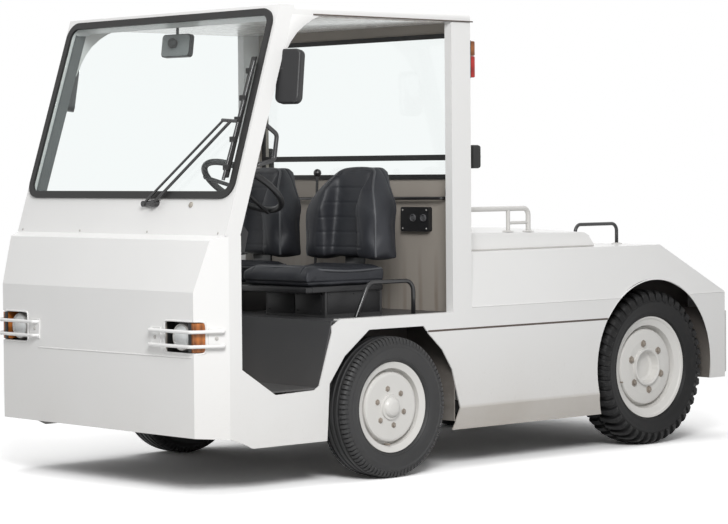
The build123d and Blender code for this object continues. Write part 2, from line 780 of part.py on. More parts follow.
def hand_lever():
    """Tall lever between the seats."""
    foot = block(-20, 20, -416, -380, PLATFORM_Z, PLATFORM_Z + 24)
    lever = rod((0, -400, PLATFORM_Z + 12), (0, -376, 1226), 6)
    return foot + lever + Pos(0, -375, 1236) * Sphere(17)


def headlamp():
    """Round lamp in its pocket."""
    back = NOSE_Y + PLATE + LAMP_DEPTH
    plane = Plane(origin=(LAMP_X0 + 90, back, (LAMP_Z0 + LAMP_Z1) / 2), z_dir=(0, -1, 0))
    bowl = extrude(plane * Circle(LAMP_R), amount=LAMP_DEPTH - 4)
    return fillet(bowl.edges().filter_by(GeomType.CIRCLE).sort_by(Axis.Y)[0], 6)


def lamp_box():
    """Black pocket behind the lamps of one side."""
    y0 = NOSE_Y + PLATE
    outer = block(LAMP_X0 - 10, HALF_WIDTH - 30, y0, y0 + LAMP_DEPTH + 8, LAMP_Z0 - 12, LAMP_Z1 + 12)
    inner = block(LAMP_X0 - 4, HALF_WIDTH, y0 - 10, y0 + LAMP_DEPTH, LAMP_Z0 - 6, LAMP_Z1 + 6)
    x1 = HALF_WIDTH - PLATE
    hull = [(0, y0), (x1 - CORNER_X, y0), (x1, y0 + CORNER_Y), (0, y0 + 300)]
    return (outer - inner) & floor_plan(hull, 0, 1000)


def turn_lamp():
    """Amber lamp that wraps the corner of the nose."""
    z0 = LAMP_Z0 + 6
    z1 = LAMP_Z1 - 6
    lamp = block(HALF_WIDTH - 84, HALF_WIDTH, NOSE_Y, NOSE_Y + PLATE + LAMP_DEPTH, z0, z1)
    x1 = HALF_WIDTH - 1
    hull = [(0, NOSE_Y + 1), (x1 - CORNER_X, NOSE_Y + 1), (x1, NOSE_Y + CORNER_Y), (0, 0)]
    lamp = lamp & floor_plan(hull, 0, NOSE_TOP_Z)
    return lamp - block(LAMP_LIMIT_X, HALF_WIDTH + 10, LAMP_SIDE_Y, NOSE_Y + 80, z0 - 1, z1 + 1)


def lamp_guard():
    """Two bars round one lamp pocket with a bolted plate at each end."""
    x0 = LAMP_X0 - 78
    front = HALF_WIDTH - CORNER_X
    out = NOSE_Y - GUARD_OUT
    z0 = GUARD_Z[0] - 12
    z1 = GUARD_Z[1] + 12
    guard = block(x0 - 6, x0 + 58, NOSE_Y - GUARD_PLATE, NOSE_Y, z0, z1)
    # Second plate on the chamfered corner, as shares of its length
    ends = [(front + share * CORNER_X, NOSE_Y + share * CORNER_Y) for share in (0.4, 0.87)]
    plate = [*ends, (ends[1][0] + GUARD_PLATE, ends[1][1]), (ends[0][0] + GUARD_PLATE, ends[0][1])]
    guard += floor_plan(plate, z0, z1)
    for z in GUARD_Z:
        points = [(x0, NOSE_Y, z), (x0 + 12, out, z), (front + 10, out, z)]
        points += [(HALF_WIDTH + 10, NOSE_Y + 98, z), (HALF_WIDTH - 8, NOSE_Y + 110, z)]
        guard += tube(points, GUARD_BAR_R, 10)
    hull = [(0, NOSE_Y), (front, NOSE_Y), (HALF_WIDTH, NOSE_Y + CORNER_Y), (HALF_WIDTH, 0), (0, 0)]
    return guard - floor_plan(hull, 0, NOSE_TOP_Z)


def side_mirror(side, turn):
    """Mirror head on a short arm behind a windscreen post."""
    head = Box(*MIRROR_SIZE)
    head = fillet(head.edges().filter_by(Axis.Y), 26)
    head = fillet(head.faces().sort_by(Axis.Y)[0].edges(), 9)
    x = side * MIRROR_X
    head = Pos(x, MIRROR_Y, MIRROR_Z) * Rot(0, 0, turn) * Rot(-MIRROR_LEAN, 0, 0) * head
    z = MIRROR_Z + 30
    arm = rod((side * (HALF_WIDTH - 30), screen_y(z) + PILLAR_DEPTH - 10, z), (x, MIRROR_Y, z), 8)
    return head + arm - post()


def inside_mirror():
    """Mirror on a bracket at the top of the windscreen."""
    x = -66
    z = ROOF_BOTTOM_Z - 94
    y = screen_y(ROOF_TOP_Z) + PILLAR_DEPTH + 16
    head = Box(165, 22, 95)
    head = fillet(head.edges().filter_by(Axis.Y), 16)
    head = Pos(x, y, z) * Rot(0, 0, 6) * Rot(-8, 0, 0) * head
    return head + rod((x, y, z), (x, y, ROOF_BOTTOM_Z), 6)


def screen_point(x, z, off):
    """A point in front of the windscreen frame."""
    return (x, screen_y(z) - off, z)


def wiper():
    """Two parallel arms on one base, and a long blade."""
    spindle = (WIPER_X, WIPER_Z)
    idler = (WIPER_X - 62, WIPER_Z - 2)
    joint_x = WIPER_X + WIPER_REACH
    joint_z = (WIPER_TOP_Z + WIPER_LOW_Z) / 2
    parts = rod(screen_point(*spindle, 26), screen_point(*spindle, 0), 15)
    parts += rod(screen_point(*idler, 26), screen_point(*idler, 0), 12)
    parts += rod(screen_point(*idler, 12), screen_point(*spindle, 12), 11)
    parts += rod(screen_point(*spindle, 22), screen_point(joint_x - 34, joint_z, 30), 6)
    parts += rod(screen_point(*idler, 22), screen_point(joint_x - 84, joint_z + 2, 30), 5)
    parts += rod(screen_point(joint_x - 90, joint_z + 2, 30), screen_point(joint_x + 4, joint_z - 4, 26), 7)
    blade = (screen_point(joint_x - 8, WIPER_LOW_Z, 22), screen_point(joint_x + 9, WIPER_TOP_Z, 22))
    return parts + rod(*blade, 7) - post()


def grab_handle():
    """Grab tube behind a corner post of the windscreen."""
    x = HALF_WIDTH - 24
    points = []
    # height and distance behind the post
    for z, behind in ((1440, -8), (1389, 86), (1288, 102), (1264, -8)):
        points.append((x, screen_y(z) + PILLAR_DEPTH + behind, z))
    return tube(points, 9, 22) - post()


def post():
    """Full depth of the windscreen posts, to trim what is fixed to them."""
    low = NOSE_TOP_Z
    high = ROOF_TOP_Z
    back = PILLAR_DEPTH
    outline = [(screen_y(low), low), (screen_y(high), high)]
    outline += [(screen_y(high) + back, high), (screen_y(low) + back, low)]
    return side_plate(outline, -HALF_WIDTH, HALF_WIDTH)


def pillar_lamp():
    """Rear lamp on the back of a door post."""
    x = HALF_WIDTH - 21
    y = REAR_PILLAR_Y + REAR_PILLAR_DEPTH
    lamp = block(x - 19, x + 19, y, y + 34, ROOF_BOTTOM_Z - 231, ROOF_BOTTOM_Z - 77)
    return fillet(lamp.edges().filter_by(Axis.X).sort_by(Axis.Y)[-2:], 8)


def pillar_box():
    """Small rubber-edged work lamp under the rear lamp."""
    x = HALF_WIDTH - 24
    y = REAR_PILLAR_Y + REAR_PILLAR_DEPTH
    body = block(x - 24, x + 24, y + 16, y + 66, 1250, 1348)
    body = fillet(body.edges().filter_by(Axis.X), 12)
    return body + block(x - 8, x + 8, y, y + 20, 1285, 1312)


def wall_box():
    """Switch box on the inside of the back wall."""
    box = block(WINDOW_HALF - 305, WINDOW_HALF - 134, WALL_Y0 - 22, WALL_Y0, 984, 1088)
    return fillet(box.edges().filter_by(Axis.Y), 10)


def frame_rail():
    """Channel rail that steps up over the axles."""
    low0, low1 = FRAME_LOW
    high0, high1 = FRAME_HIGH

    def outline(t):
        return [
            (FRAME_FRONT_Y - 2 * t, low0 + t),
            (KICK[0], low0 + t),
            (KICK[1], high0 + t),
            (FRAME_REAR_Y + 2 * t, high0 + t),
            (FRAME_REAR_Y + 2 * t, high1 - t),
            (KICK[1] - 30, high1 - t),
            (KICK[0] - 30, low1 - t),
            (FRAME_FRONT_Y - 2 * t, low1 - t),
        ]

    solid = side_plate(outline(0), RAIL_X, RAIL_X + RAIL_WIDTH)
    return solid - side_plate(outline(RAIL_WALL), RAIL_X + RAIL_WALL, RAIL_X + RAIL_WIDTH + 1)


def frame():
    """Two rails and the cross members between them."""
    rails = frame_rail()
    rails += other_side(rails)
    # y, low z, high z of each cross member
    table = (
        (FRAME_FRONT_Y + 40, 300, 368),
        (-790, 450, 550),
        (-200, 450, 550),
        (REAR_AXLE_Y - 275, 450, 550),
        (FRAME_REAR_Y - 40, 450, 550),
    )
    for y, z0, z1 in table:
        rails += block(-RAIL_X, RAIL_X, y - 25, y + 25, z0, z1)
    return rails


def brackets():
    """Outriggers that carry the body on the frame."""
    x0 = RAIL_X + RAIL_WIDTH
    x1 = HALF_WIDTH - PLATE
    middle_y = REAR_AXLE_Y - 475
    return [
        block(x0, x1, -150, -150 + BRACKET, *FRAME_HIGH),
        block(x0, x1, middle_y, middle_y + BRACKET, *FRAME_HIGH),
        block(0, x0, FRAME_REAR_Y, TAIL_Y - PLATE, *FRAME_HIGH),
    ]


def engine():
    """Engine block between the rails, carried by two beams."""
    body = block(-ENGINE_HALF, ENGINE_HALF, *ENGINE_Y, *ENGINE_Z)
    for y in (ENGINE_Y[0] + 90, ENGINE_Y[1] - 90):
        body += block(-RAIL_X, RAIL_X, y - 25, y + 25, 470, 530)
    return body


def front_axle():
    """Beam with an eye at each end for the steering pins."""
    y0 = FRONT_AXLE_Y - BEAM_WIDTH / 2
    y1 = FRONT_AXLE_Y + BEAM_WIDTH / 2
    low = FRONT_TYRE_R - BEAM_HALF
    high = FRONT_TYRE_R + BEAM_HALF
    end = STEER_AXIS_X - 50
    drop = RAIL_X - 10
    profile = [(-end, low), (end, low), (end, high), (drop, high)]
    profile += [(drop - 40, FRONT_TYRE_R), (40 - drop, FRONT_TYRE_R), (-drop, high), (-end, high)]
    beam = cross_bar(profile, y0, y1)
    neck = block(end - 10, STEER_AXIS_X - 10, y0 + 8, y1 - 8, FRONT_TYRE_R - 27, FRONT_TYRE_R + 27)
    at = Pos(STEER_AXIS_X, FRONT_AXLE_Y, FRONT_TYRE_R)
    eye = neck + at * Cylinder(28, 2 * BEAM_HALF)
    hole = at * Cylinder(PIVOT_R + RUNNING_FIT, 90)
    return beam + eye + other_side(eye) - hole - other_side(hole)


def leaf_spring(axle_y, low, length):
    """Stack of leaves under one rail, with its end hangers."""
    middle = RAIL_X + RAIL_WIDTH / 2
    top = low + 3 * LEAF
    pack = block(middle - 25, middle + 25, axle_y - length / 2, axle_y + length / 2, top - LEAF, top)
    for step in (1, 2):
        half = length / 2 - step * 70
        z = top - (step + 1) * LEAF
        pack += block(middle - 25, middle + 25, axle_y - half, axle_y + half, z, z + LEAF)
    for end in (-1, 1):
        y = axle_y + end * (length / 2 - 20)
        pack += block(middle - 20, middle + 20, y - 12, y + 12, top - 12, FRAME_HIGH[0])
    return pack


def knuckle():
    """Steering knuckle: fork, pin, spindle and arm of one side."""
    x = STEER_AXIS_X
    y = FRONT_AXLE_Y
    z = FRONT_TYRE_R
    inner = BEAM_HALF + FORK_GAP
    outer = inner + FORK
    part = Pos(x, y, z) * Cylinder(PIVOT_R, 2 * outer)
    for z0 in (z + inner, z - outer):
        part += Pos(x, y, z0 + FORK / 2) * Cylinder(26, FORK)
        part += block(x, x + 46, y - 26, y + 26, z0, z0 + FORK)
    part += block(x + 34, x + 52, y - 34, y + 34, z - outer, z + outer)
    part += rod((x + 50, y, z), (SPINDLE_END, y, z), SPINDLE_R)
    part += block(x - 22, x + 20, y, y + ARM_LENGTH, z - outer, z - outer + ARM)
    end = Pos(x, y + ARM_LENGTH, z - outer + ARM / 2)
    return part + end * Cylinder(20, ARM) - end * Cylinder(7 + RUNNING_FIT, 40)


def tie_rod():
    """Rod between the two steering arms."""
    y = FRONT_AXLE_Y + ARM_LENGTH
    z = FRONT_TYRE_R - BEAM_HALF - FORK_GAP - FORK - 13
    half = STEER_AXIS_X - 14
    bar = rod((-half, y, z), (half, y, z), 11)
    end = Pos(STEER_AXIS_X, y, z) * Cylinder(20, 24) + Pos(STEER_AXIS_X, y, z + 7) * Cylinder(7, 38)
    return bar + end + other_side(end)


def barrel(rim_r, width):
    """Tyre side of a rim from the inner flange to the outer, as (depth from the outer plane, radius)."""
    back = -width
    return [
        (back, rim_r),
        (back + FLANGE, rim_r),
        (back + 12, rim_r - BEAD_SEAT),
        (back + 36, rim_r - BEAD_SEAT - 4),
        (back + 50, rim_r - 2 * BEAD_SEAT),
        (-56, rim_r - 2 * BEAD_SEAT),
        (-46, rim_r - BEAD_SEAT - 4),
        (-12, rim_r - BEAD_SEAT),
        (-FLANGE, rim_r),
    ]


def turned(points, x):
    """Body turned about the X axis from (x, radius) points, moved along X."""
    face = make_face(Polyline(*points, close=True))
    return Pos(x, 0, 0) * revolve(face, axis=Axis.X)


def front_wheel():
    """Pressed steel wheel of the left front: deep groove round the disc, domed cap."""
    edge = FRONT_RIM_R
    out = FRONT_WHEEL_X + FRONT_RIM_WIDTH / 2
    bore = SPINDLE_R + RUNNING_FIT
    hub = STEER_AXIS_X + 56 - out
    face = [(0, edge), (-3, edge - 8), (-10, edge - 26), (-44, edge - 30), (-44, edge - 42)]
    face += [(-18, edge - 42), (-11, edge - 46), (-9, edge - 54), (-12, 66), (-12, 53), (-4, 51)]
    face += [(-4, 42), (2, 40), (10, 33), (15, 21), (17, 0)]
    back = [(4, 0), (4, bore), (hub, bore), (hub, FRONT_HUB_R), (-22, FRONT_HUB_R), (-22, 68)]
    back += [(-18, edge - 60), (-24, edge - 50), (-54, edge - 50), (-66, edge - 46)]
    back += [(-78, edge - 29), (6 - FRONT_RIM_WIDTH, edge - 25)]
    wheel = turned(face + back + barrel(edge, FRONT_RIM_WIDTH), out)
    return Pos(0, FRONT_AXLE_Y, FRONT_TYRE_R) * wheel


def rear_wheel():
    """Pressed steel wheel of the left rear: wide side ring, open cup in the hub."""
    edge = REAR_RIM_R
    out = REAR_WHEEL_X + REAR_RIM_WIDTH / 2
    bore = AXLE_END_R + RUNNING_FIT
    hub = REAR_WHEEL_X - 28 - out
    face = [(0, edge), (-3, edge - 9), (-8, edge - 14), (-20, edge - 40), (-48, edge - 46)]
    face += [(-60, edge - 50), (-60, edge - 58), (-34, edge - 58), (-28, edge - 62), (-26, edge - 70)]
    face += [(-22, 120), (-24, 92), (-24, 86), (-12, 84), (-10, 78), (-14, 72), (-44, 64)]
    face += [(-50, 52), (-52, 0)]
    back = [(-60, 0), (-60, bore), (hub, bore), (hub, REAR_HUB_R), (-60, REAR_HUB_R), (-40, 94)]
    back += [(-32, 120), (-36, edge - 72), (-44, edge - 66), (-74, edge - 66), (-80, edge - 48)]
    back += [(-88, edge - 45), (34 - REAR_RIM_WIDTH, edge - 29), (6 - REAR_RIM_WIDTH, edge - 25)]
    wheel = turned(face + back + barrel(edge, REAR_RIM_WIDTH), out)
    return Pos(0, REAR_AXLE_Y, REAR_TYRE_R) * wheel


def flat_sided(points):
    """Closed ring about the X axis with flat sides, whose flats reach the radius of each point."""
    turn = 2 * pi / TYRE_SIDES
    reach = 1 / cos(turn / 2)
    rings = []
    for x, radius in points:
        angles = [(step + 0.5) * turn - pi / 2 for step in range(TYRE_SIDES)]
        rings.append([(x, radius * reach * cos(a), radius * reach * sin(a)) for a in angles])
    faces = []
    for ring, following in zip(rings, rings[1:] + rings[:1]):
        for step in range(TYRE_SIDES):
            other = step - 1
            corners = [ring[other], ring[step], following[step], following[other]]
            faces.append(Face(Wire.make_polygon([Vector(*corner) for corner in corners])))
    return Solid(Shell(faces))


def tyre(radius, width, rim_r, rim_width):
    """Tyre about the X axis, seated between the rim flanges."""
    half = width / 2
    flange = rim_width / 2 - FLANGE - 0.3
    right = [
        (half * 0.7, radius),
        (half - 5, radius - 18),
        (half, (radius + rim_r) / 2),
        (flange, rim_r + 2),
        (flange - 7, rim_r - BEAD_SEAT + 0.3),
    ]
    left = [(-x, r) for x, r in reversed(right)]
    return flat_sided(right + left)


def grooves(radius):
    """Cutters for the two rows of grooves in the rear tread."""
    cutters = []
    for row in (-1, 1):
        for step in range(TYRE_SIDES):
            angle = (step + (0.5 if row > 0 else 0)) * 360 / TYRE_SIDES
            x = row * (GROOVE_INNER_X + GROOVE_LENGTH / 2)
            box = Rot(0, 0, row * GROOVE_LEAN) * Box(GROOVE_LENGTH, GROOVE_WIDTH, 2 * GROOVE_DEPTH)
            cutters.append(Rot(angle, 0, 0) * Pos(x, 0, radius) * box)
    return cutters


def rear_axle():
    """Housing with its final drive, two ends for the wheels and the shaft from the engine."""
    z = REAR_TYRE_R
    y = REAR_AXLE_Y
    half = REAR_WHEEL_X - 43
    axle = rod((-half, y, z), (half, y, z), HOUSING_R)
    axle += rod((-AXLE_END, y, z), (AXLE_END, y, z), AXLE_END_R)
    axle += Pos(0, y, z) * Sphere(125) & block(-110, 110, y - 130, y + 130, z - 130, z + 130)
    axle += rod((0, y - 170, z), (0, y, z), 55)
    engine_y = ENGINE_Y[1]
    axle += rod((0, engine_y - 20, SHAFT_Z), (0, y - 165, z), PROP_SHAFT_R)
    return axle - block(-60, 60, engine_y - 60, engine_y, ENGINE_Z[0] - 20, SHAFT_Z + 60)


def hitch():
    """Tow jaw on the back with two plates."""
    y0 = TAIL_Y
    y1 = TAIL_Y + 96
    body = block(-110, 110, y0, y0 + 16, HITCH_Z - 70, HITCH_Z + 130)
    outline = [(-70, y0), (70, y0), (70, y1 - 34), (40, y1), (-40, y1), (-70, y1 - 34)]
    for z in (HITCH_Z - 50, HITCH_Z + 34):
        body += floor_plan(outline, z, z + 16)
    hole = Pos(0, HITCH_Y, HITCH_Z) * Cylinder(HITCH_PIN_R + 0.5, 200)
    return body - hole


def hitch_pin():
    """Drop pin with a ring handle."""
    y = HITCH_Y
    pin = rod((0, y, HITCH_Z - 62), (0, y, HITCH_Z + 70), HITCH_PIN_R)
    pin += rod((0, y, HITCH_Z + 50.3), (0, y, HITCH_Z + 60), 24)
    ring = Pos(0, y, HITCH_Z + 92) * Rot(90, 0, 0) * Torus(22, 5)
    return pin + ring


def buffers():
    """Rubber blocks on the rear corners."""
    return pair(block(HALF_WIDTH - 94, HALF_WIDTH - 28, TAIL_Y, TAIL_Y + 20, 296, 586))


def main():
    os.makedirs("parts", exist_ok=True)
    save("nose", nose())
    save("windscreen_frame", windscreen_frame())
    save("roof", roof())
    save("rear_pillars", rear_pillars())
    save("cab_back", cab_back())
    save("window_glass", Compound(children=[windscreen_glass(), rear_window()]))
    save("window_seals", Compound(children=[windscreen_seal(), rear_window_seal()]))
    save("cab_floor", cab_floor())
    save("front_sides", pair(front_side()))
    save("wheel_houses", wheel_houses())
    save("side_skirts", pair(side_skirt()))
    shell = rear_shell()
    half = HALF_WIDTH - SIDE_STRIP
    behind = TAIL_Y + 10
    middle = block(-half, half, WALL_Y1 - 10, behind, 0, 1000)
    slope = block(-half, half, SLOPE_Y, behind, 0, 1000)
    save("rear_sides", shell - middle)
    save("tail_panel", shell & slope)
    save("rear_deck", (shell & middle) - slope + deck_hinges())
    save("hood", hood())
    save("hood_rails", pair(hood_rail()))
    hoops = [pair(seat_guard()), pair(grab_handle()), deck_handle(), wall_rail()]
    save("hand_hoops", Compound(children=hoops))
    save("seat_base", seat_base())
    save("seat_cushions", pair(seat_cushion()))
    save("seat_backs", pair(seat_back()))
    save("dashboard", dashboard())
    save("steering_wheel", steering_wheel())
    save("steering_column", steering_column())
    save("pedals", pedals())
    save("hand_lever", hand_lever())
    save("lamp_boxes", pair(lamp_box()))
    save("turn_lamps", pair(turn_lamp()))
    save("headlamps", pair(headlamp()))
    save("lamp_guards", pair(lamp_guard()))
    heads = [side_mirror(1, LEFT_MIRROR_TURN), side_mirror(-1, RIGHT_MIRROR_TURN)]
    save("mirrors", Compound(children=[*heads, inside_mirror()]))
    save("wiper", wiper())
    save("rear_lamps", Compound(children=[pair(pillar_lamp()), pair(pillar_box())]))
    save("wall_box", wall_box())
    rails = frame()
    for bracket in brackets():
        rails += bracket + other_side(bracket)
    save("frame", rails)
    save("engine", engine())
    save("front_axle", front_axle())
    front = leaf_spring(FRONT_AXLE_Y, FRONT_TYRE_R + BEAM_HALF, FRONT_SPRING)
    rear = leaf_spring(REAR_AXLE_Y, REAR_TYRE_R + HOUSING_R, REAR_SPRING)
    save("leaf_springs", Compound(children=[front, rear, other_side(front), other_side(rear)]))
    save("left_knuckle", knuckle())
    save("right_knuckle", other_side(knuckle()))
    save("tie_rod", tie_rod())
    front_tyre = tyre(FRONT_TYRE_R, FRONT_TYRE_WIDTH, FRONT_RIM_R, FRONT_RIM_WIDTH)
    rear_tyre = tyre(REAR_TYRE_R, REAR_TYRE_WIDTH, REAR_RIM_R, REAR_RIM_WIDTH) - grooves(REAR_TYRE_R)
    left = (
        ("front_wheel", front_wheel()),
        ("front_tyre", Pos(FRONT_WHEEL_X, FRONT_AXLE_Y, FRONT_TYRE_R) * front_tyre),
        ("rear_wheel", rear_wheel()),
        ("rear_tyre", Pos(REAR_WHEEL_X, REAR_AXLE_Y, REAR_TYRE_R) * rear_tyre),
    )
    for name, shape in left:
        save(f"left_{name}", shape)
        save(f"right_{name}", other_side(shape))
    save("rear_axle", rear_axle())
    save("hitch", hitch())
    save("hitch_pin", hitch_pin())
    save("rear_buffers", buffers())


main()
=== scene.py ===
import bpy
from math import cos, pi, radians, sin
from mathutils import Matrix, Vector


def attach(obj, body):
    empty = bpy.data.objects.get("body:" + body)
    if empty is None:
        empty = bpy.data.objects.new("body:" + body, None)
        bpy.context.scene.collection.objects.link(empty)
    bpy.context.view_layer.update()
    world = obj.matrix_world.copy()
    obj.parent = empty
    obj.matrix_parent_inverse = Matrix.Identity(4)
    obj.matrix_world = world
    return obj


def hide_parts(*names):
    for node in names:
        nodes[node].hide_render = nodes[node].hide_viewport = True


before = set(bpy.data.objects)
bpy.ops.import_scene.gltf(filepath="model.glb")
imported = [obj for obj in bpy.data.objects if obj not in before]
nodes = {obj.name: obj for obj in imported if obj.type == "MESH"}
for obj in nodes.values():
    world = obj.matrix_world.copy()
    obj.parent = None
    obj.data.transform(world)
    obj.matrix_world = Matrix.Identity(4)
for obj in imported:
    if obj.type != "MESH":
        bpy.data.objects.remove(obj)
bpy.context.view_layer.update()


# Photographer's view
# The tug is seen from its front left through a long lens, a little above the height of its seats
CAMERA_PLACE = (8.1257, -7.5602, 1.2555)
CAMERA_YAW = 47.4715
CAMERA_PITCH = -2.1408
CAMERA_ROLL = -0.4652
LENS = 124.39

view = bpy.data.cameras.new("view")
view.lens = LENS
view.sensor_width = 36
view.sensor_fit = "HORIZONTAL"
view.clip_end = 100
camera = bpy.data.objects.new("camera", view)
bpy.context.scene.collection.objects.link(camera)
turn = Matrix.Rotation(radians(CAMERA_YAW), 4, "Z") @ Matrix.Rotation(radians(90 + CAMERA_PITCH), 4, "X")
turn = turn @ Matrix.Rotation(radians(CAMERA_ROLL), 4, "Z")
camera.matrix_world = Matrix.Translation(CAMERA_PLACE) @ turn
bpy.context.scene.camera = camera


# Studio
# A pale paper floor that runs out to white, a broad soft lamp beside the camera, a wider one above and an even
# white surround
FLOOR_HALF = 14
SURROUND = 0.42
# Shade of the paper in the light, shade that the camera sees, and distances where that fades to bare white
PAPER_SHADE = 0.50
PAPER_WHITE = 1.45
PAPER_FADE = (2.4, 4.2)
LAMPS = (
    # name, place, aimed at, width, height, power
    ("key_lamp", (5.2, -4.4, 4.2), (0.0, -0.2, 0.8), 2.4, 2.4, 360),
    ("top_lamp", (-0.5, -0.5, 5.5), (0.0, 0.0, 0.5), 5.0, 5.0, 130),
)


class Look:
    """One value of a finish. Sums and products of values add their Math nodes."""

    def __init__(self, tree, socket):
        self.tree = tree
        self.socket = socket

    def node(self, kind, settings=None, sockets=None, out=0):
        """Add a node: its settings, then the values or links of its sockets."""
        made = self.tree.nodes.new(kind)
        for key, value in (settings or {}).items():
            setattr(made, key, value)
        for key, value in (sockets or {}).items():
            if isinstance(value, Look):
                self.tree.links.new(value.socket, made.inputs[key])
            else:
                made.inputs[key].default_value = value
        return Look(self.tree, made.outputs[out] if made.outputs else None)

    def maths(self, how, first, second=0.0):
        return self.node("ShaderNodeMath", {"operation": how}, {0: first, 1: second})

    def __add__(self, other):
        return self.maths("ADD", self, other)

    __radd__ = __add__

    def __sub__(self, other):
        return self.maths("SUBTRACT", self, other)

    def __rsub__(self, other):
        return self.maths("SUBTRACT", other, self)

    def __mul__(self, other):
        return self.maths("MULTIPLY", self, other)

    __rmul__ = __mul__

    def clamped(self):
        return self.node("ShaderNodeClamp", sockets={0: self})

    def between(self, dark, light):
        """The colour from dark to light as this value goes from 0 to 1."""
        ends = {0: self, 6: (*dark, 1), 7: (*light, 1)}
        return self.node("ShaderNodeMix", {"data_type": "RGBA"}, ends, out=2)

    def over(self, colour, cover):
        """This colour with another one where cover is 1."""
        end = colour if isinstance(colour, Look) else (*colour, 1)
        return self.node("ShaderNodeMix", {"data_type": "RGBA"}, {0: cover, 6: self, 7: end}, out=2)

    def noise(self, scale, detail):
        """Even noise from 0 to 1 over the piece, scale in waves for each metre."""
        sockets = {"Vector": self, "Scale": scale, "Detail": detail, "Roughness": 0.55}
        return self.node("ShaderNodeTexNoise", sockets=sockets)

    def part(self, axis):
        """The x, y or z of a place."""
        return self.node("ShaderNodeSeparateXYZ", sockets={0: self}, out="xyz".index(axis))

    def bump(self, strength, depth, under=None):
        """A surface whose height is this value, depth in metres, over another such surface."""
        sockets = {"Height": self, "Strength": strength, "Distance": depth}
        if under:
            sockets["Normal"] = under
        return self.node("ShaderNodeBump", sockets=sockets)


def new_material(name):
    """An empty material and the place on the piece as a value."""
    material = bpy.data.materials.new(name)
    material.use_nodes = True
    tree = material.node_tree
    tree.nodes.clear()
    place = tree.nodes.new("ShaderNodeTexCoord")
    return material, Look(tree, place.outputs["Object"])


def finish_with(material, surface):
    """Join a shader to the material's output."""
    surface.node("ShaderNodeOutputMaterial", sockets={"Surface": surface})
    return material


def glossy_finish(material, place, **sockets):
    """A plain physical surface with the given sockets."""
    named = {key.replace("_", " "): value for key, value in sockets.items()}
    surface = place.node("ShaderNodeBsdfPrincipled", sockets=named)
    return finish_with(material, surface)


def straight_view(tree):
    """1 for what the camera sees directly, in a mirror or through glass, and 0 for light that falls on things."""
    kinds = ("Is Camera Ray", "Is Glossy Ray", "Is Transmission Ray")
    direct, mirrored, through = [Look(tree, None).node("ShaderNodeLightPath", out=kind) for kind in kinds]
    return (direct + mirrored + through).clamped()


def floor_paper(name, shade, white, fade_start, fade_end):
    """Pale matt paper that the camera sees as white, with the tug's shadow on it, and bare white far out."""
    material, place = new_material(name)
    seen = straight_view(material.node_tree)
    tone = seen.between((shade, shade, shade), (white, white, white))
    matt = place.node("ShaderNodeBsdfDiffuse", sockets={"Color": tone})
    bright = place.node("ShaderNodeEmission", sockets={"Color": (1, 1, 1, 1), "Strength": 1.0})
    away = place.node("ShaderNodeVectorMath", {"operation": "LENGTH"}, {0: place}, out="Value")
    far = ((away - fade_start) * (1 / (fade_end - fade_start))).clamped() * seen
    return finish_with(material, matt.node("ShaderNodeMixShader", sockets={0: far, 1: matt, 2: bright}))


bpy.ops.object.select_all(action="DESELECT")
bpy.ops.mesh.primitive_plane_add(size=2 * FLOOR_HALF, location=(0, 0, 0))
floor = bpy.context.object
floor.name = "floor"
floor.data.materials.append(floor_paper("floor_paper", PAPER_SHADE, PAPER_WHITE, *PAPER_FADE))

world = bpy.data.worlds.new("surround")
bpy.context.scene.world = world
world.use_nodes = True
world.node_tree.nodes.clear()
strength = straight_view(world.node_tree) * (1 - SURROUND) + SURROUND
sky = strength.node("ShaderNodeBackground", sockets={"Color": (1, 1, 1, 1), "Strength": strength})
sky.node("ShaderNodeOutputWorld", sockets={"Surface": sky})

for name, place, target, width, height, power in LAMPS:
    light = bpy.data.lights.new(name, "AREA")
    light.shape = "RECTANGLE"
    light.size = width
    light.size_y = height
    light.energy = power
    lamp = bpy.data.objects.new(name, light)
    bpy.context.scene.collection.objects.link(lamp)
    lamp.location = place
    lamp.rotation_euler = (Vector(target) - Vector(place)).to_track_quat("-Z", "Y").to_euler()

bpy.context.scene.view_settings.view_transform = "Standard"


# Painted steel
# The body is folded sheet, sprayed with cream enamel: slight waves of the sheet, the fine skin of the spray and
# a little dust low down. The back wall, the floor, the chassis and the wheels have paints of their own.
CREAM = (0.80, 0.797, 0.787)
DUST = (0.46, 0.42, 0.37)
DUST_TOP = 0.6


def darker(colour, share):
    return tuple(share * value for value in colour)


def enamel(name, colour, dust=0.5, shine=0.34, splash=0.0):
    """Gloss paint with settled dust, thicker near the ground, and dirt thrown up to a height."""
    material, place = new_material(name)
    cloud = place.noise(2.6, 4)
    low = (1 - place.part("z") * (1 / DUST_TOP)).clamped()
    specks = (place.noise(75, 3) - 0.6).clamped() * 1.6
    cover = (low * cloud * dust + specks * low * dust).clamped()
    tone = cloud.between(darker(colour, 0.955), colour).over(DUST, cover)
    if splash:
        edge = (1 - (place.part("z") - splash) * 60).clamped() * (cloud * 0.5 + 0.45)
        tone = tone.over(DUST, edge * 0.9)
    rough = cloud * 0.08 + cover * 0.4 + shine
    waves = place.noise(5.5, 1).bump(0.3, 0.004)
    skin = place.noise(420, 1).bump(0.12, 0.0004, waves)
    return glossy_finish(material, place, Base_Color=tone, Roughness=rough, Normal=skin,
                         Coat_Weight=0.25, Coat_Roughness=0.12)


def dress(material, *names):
    """Give CAD nodes their finish."""
    for name in names:
        for part in nodes[name].material_slots:
            part.material = material


body_paint = enamel("body_paint", CREAM)
dress(body_paint, "nose", "windscreen_frame", "roof", "rear_pillars", "front_sides", "rear_sides",
      "tail_panel", "rear_deck", "hood", "lamp_guards")
dress(enamel("skirt_paint", CREAM, dust=0.8, splash=0.250), "side_skirts")


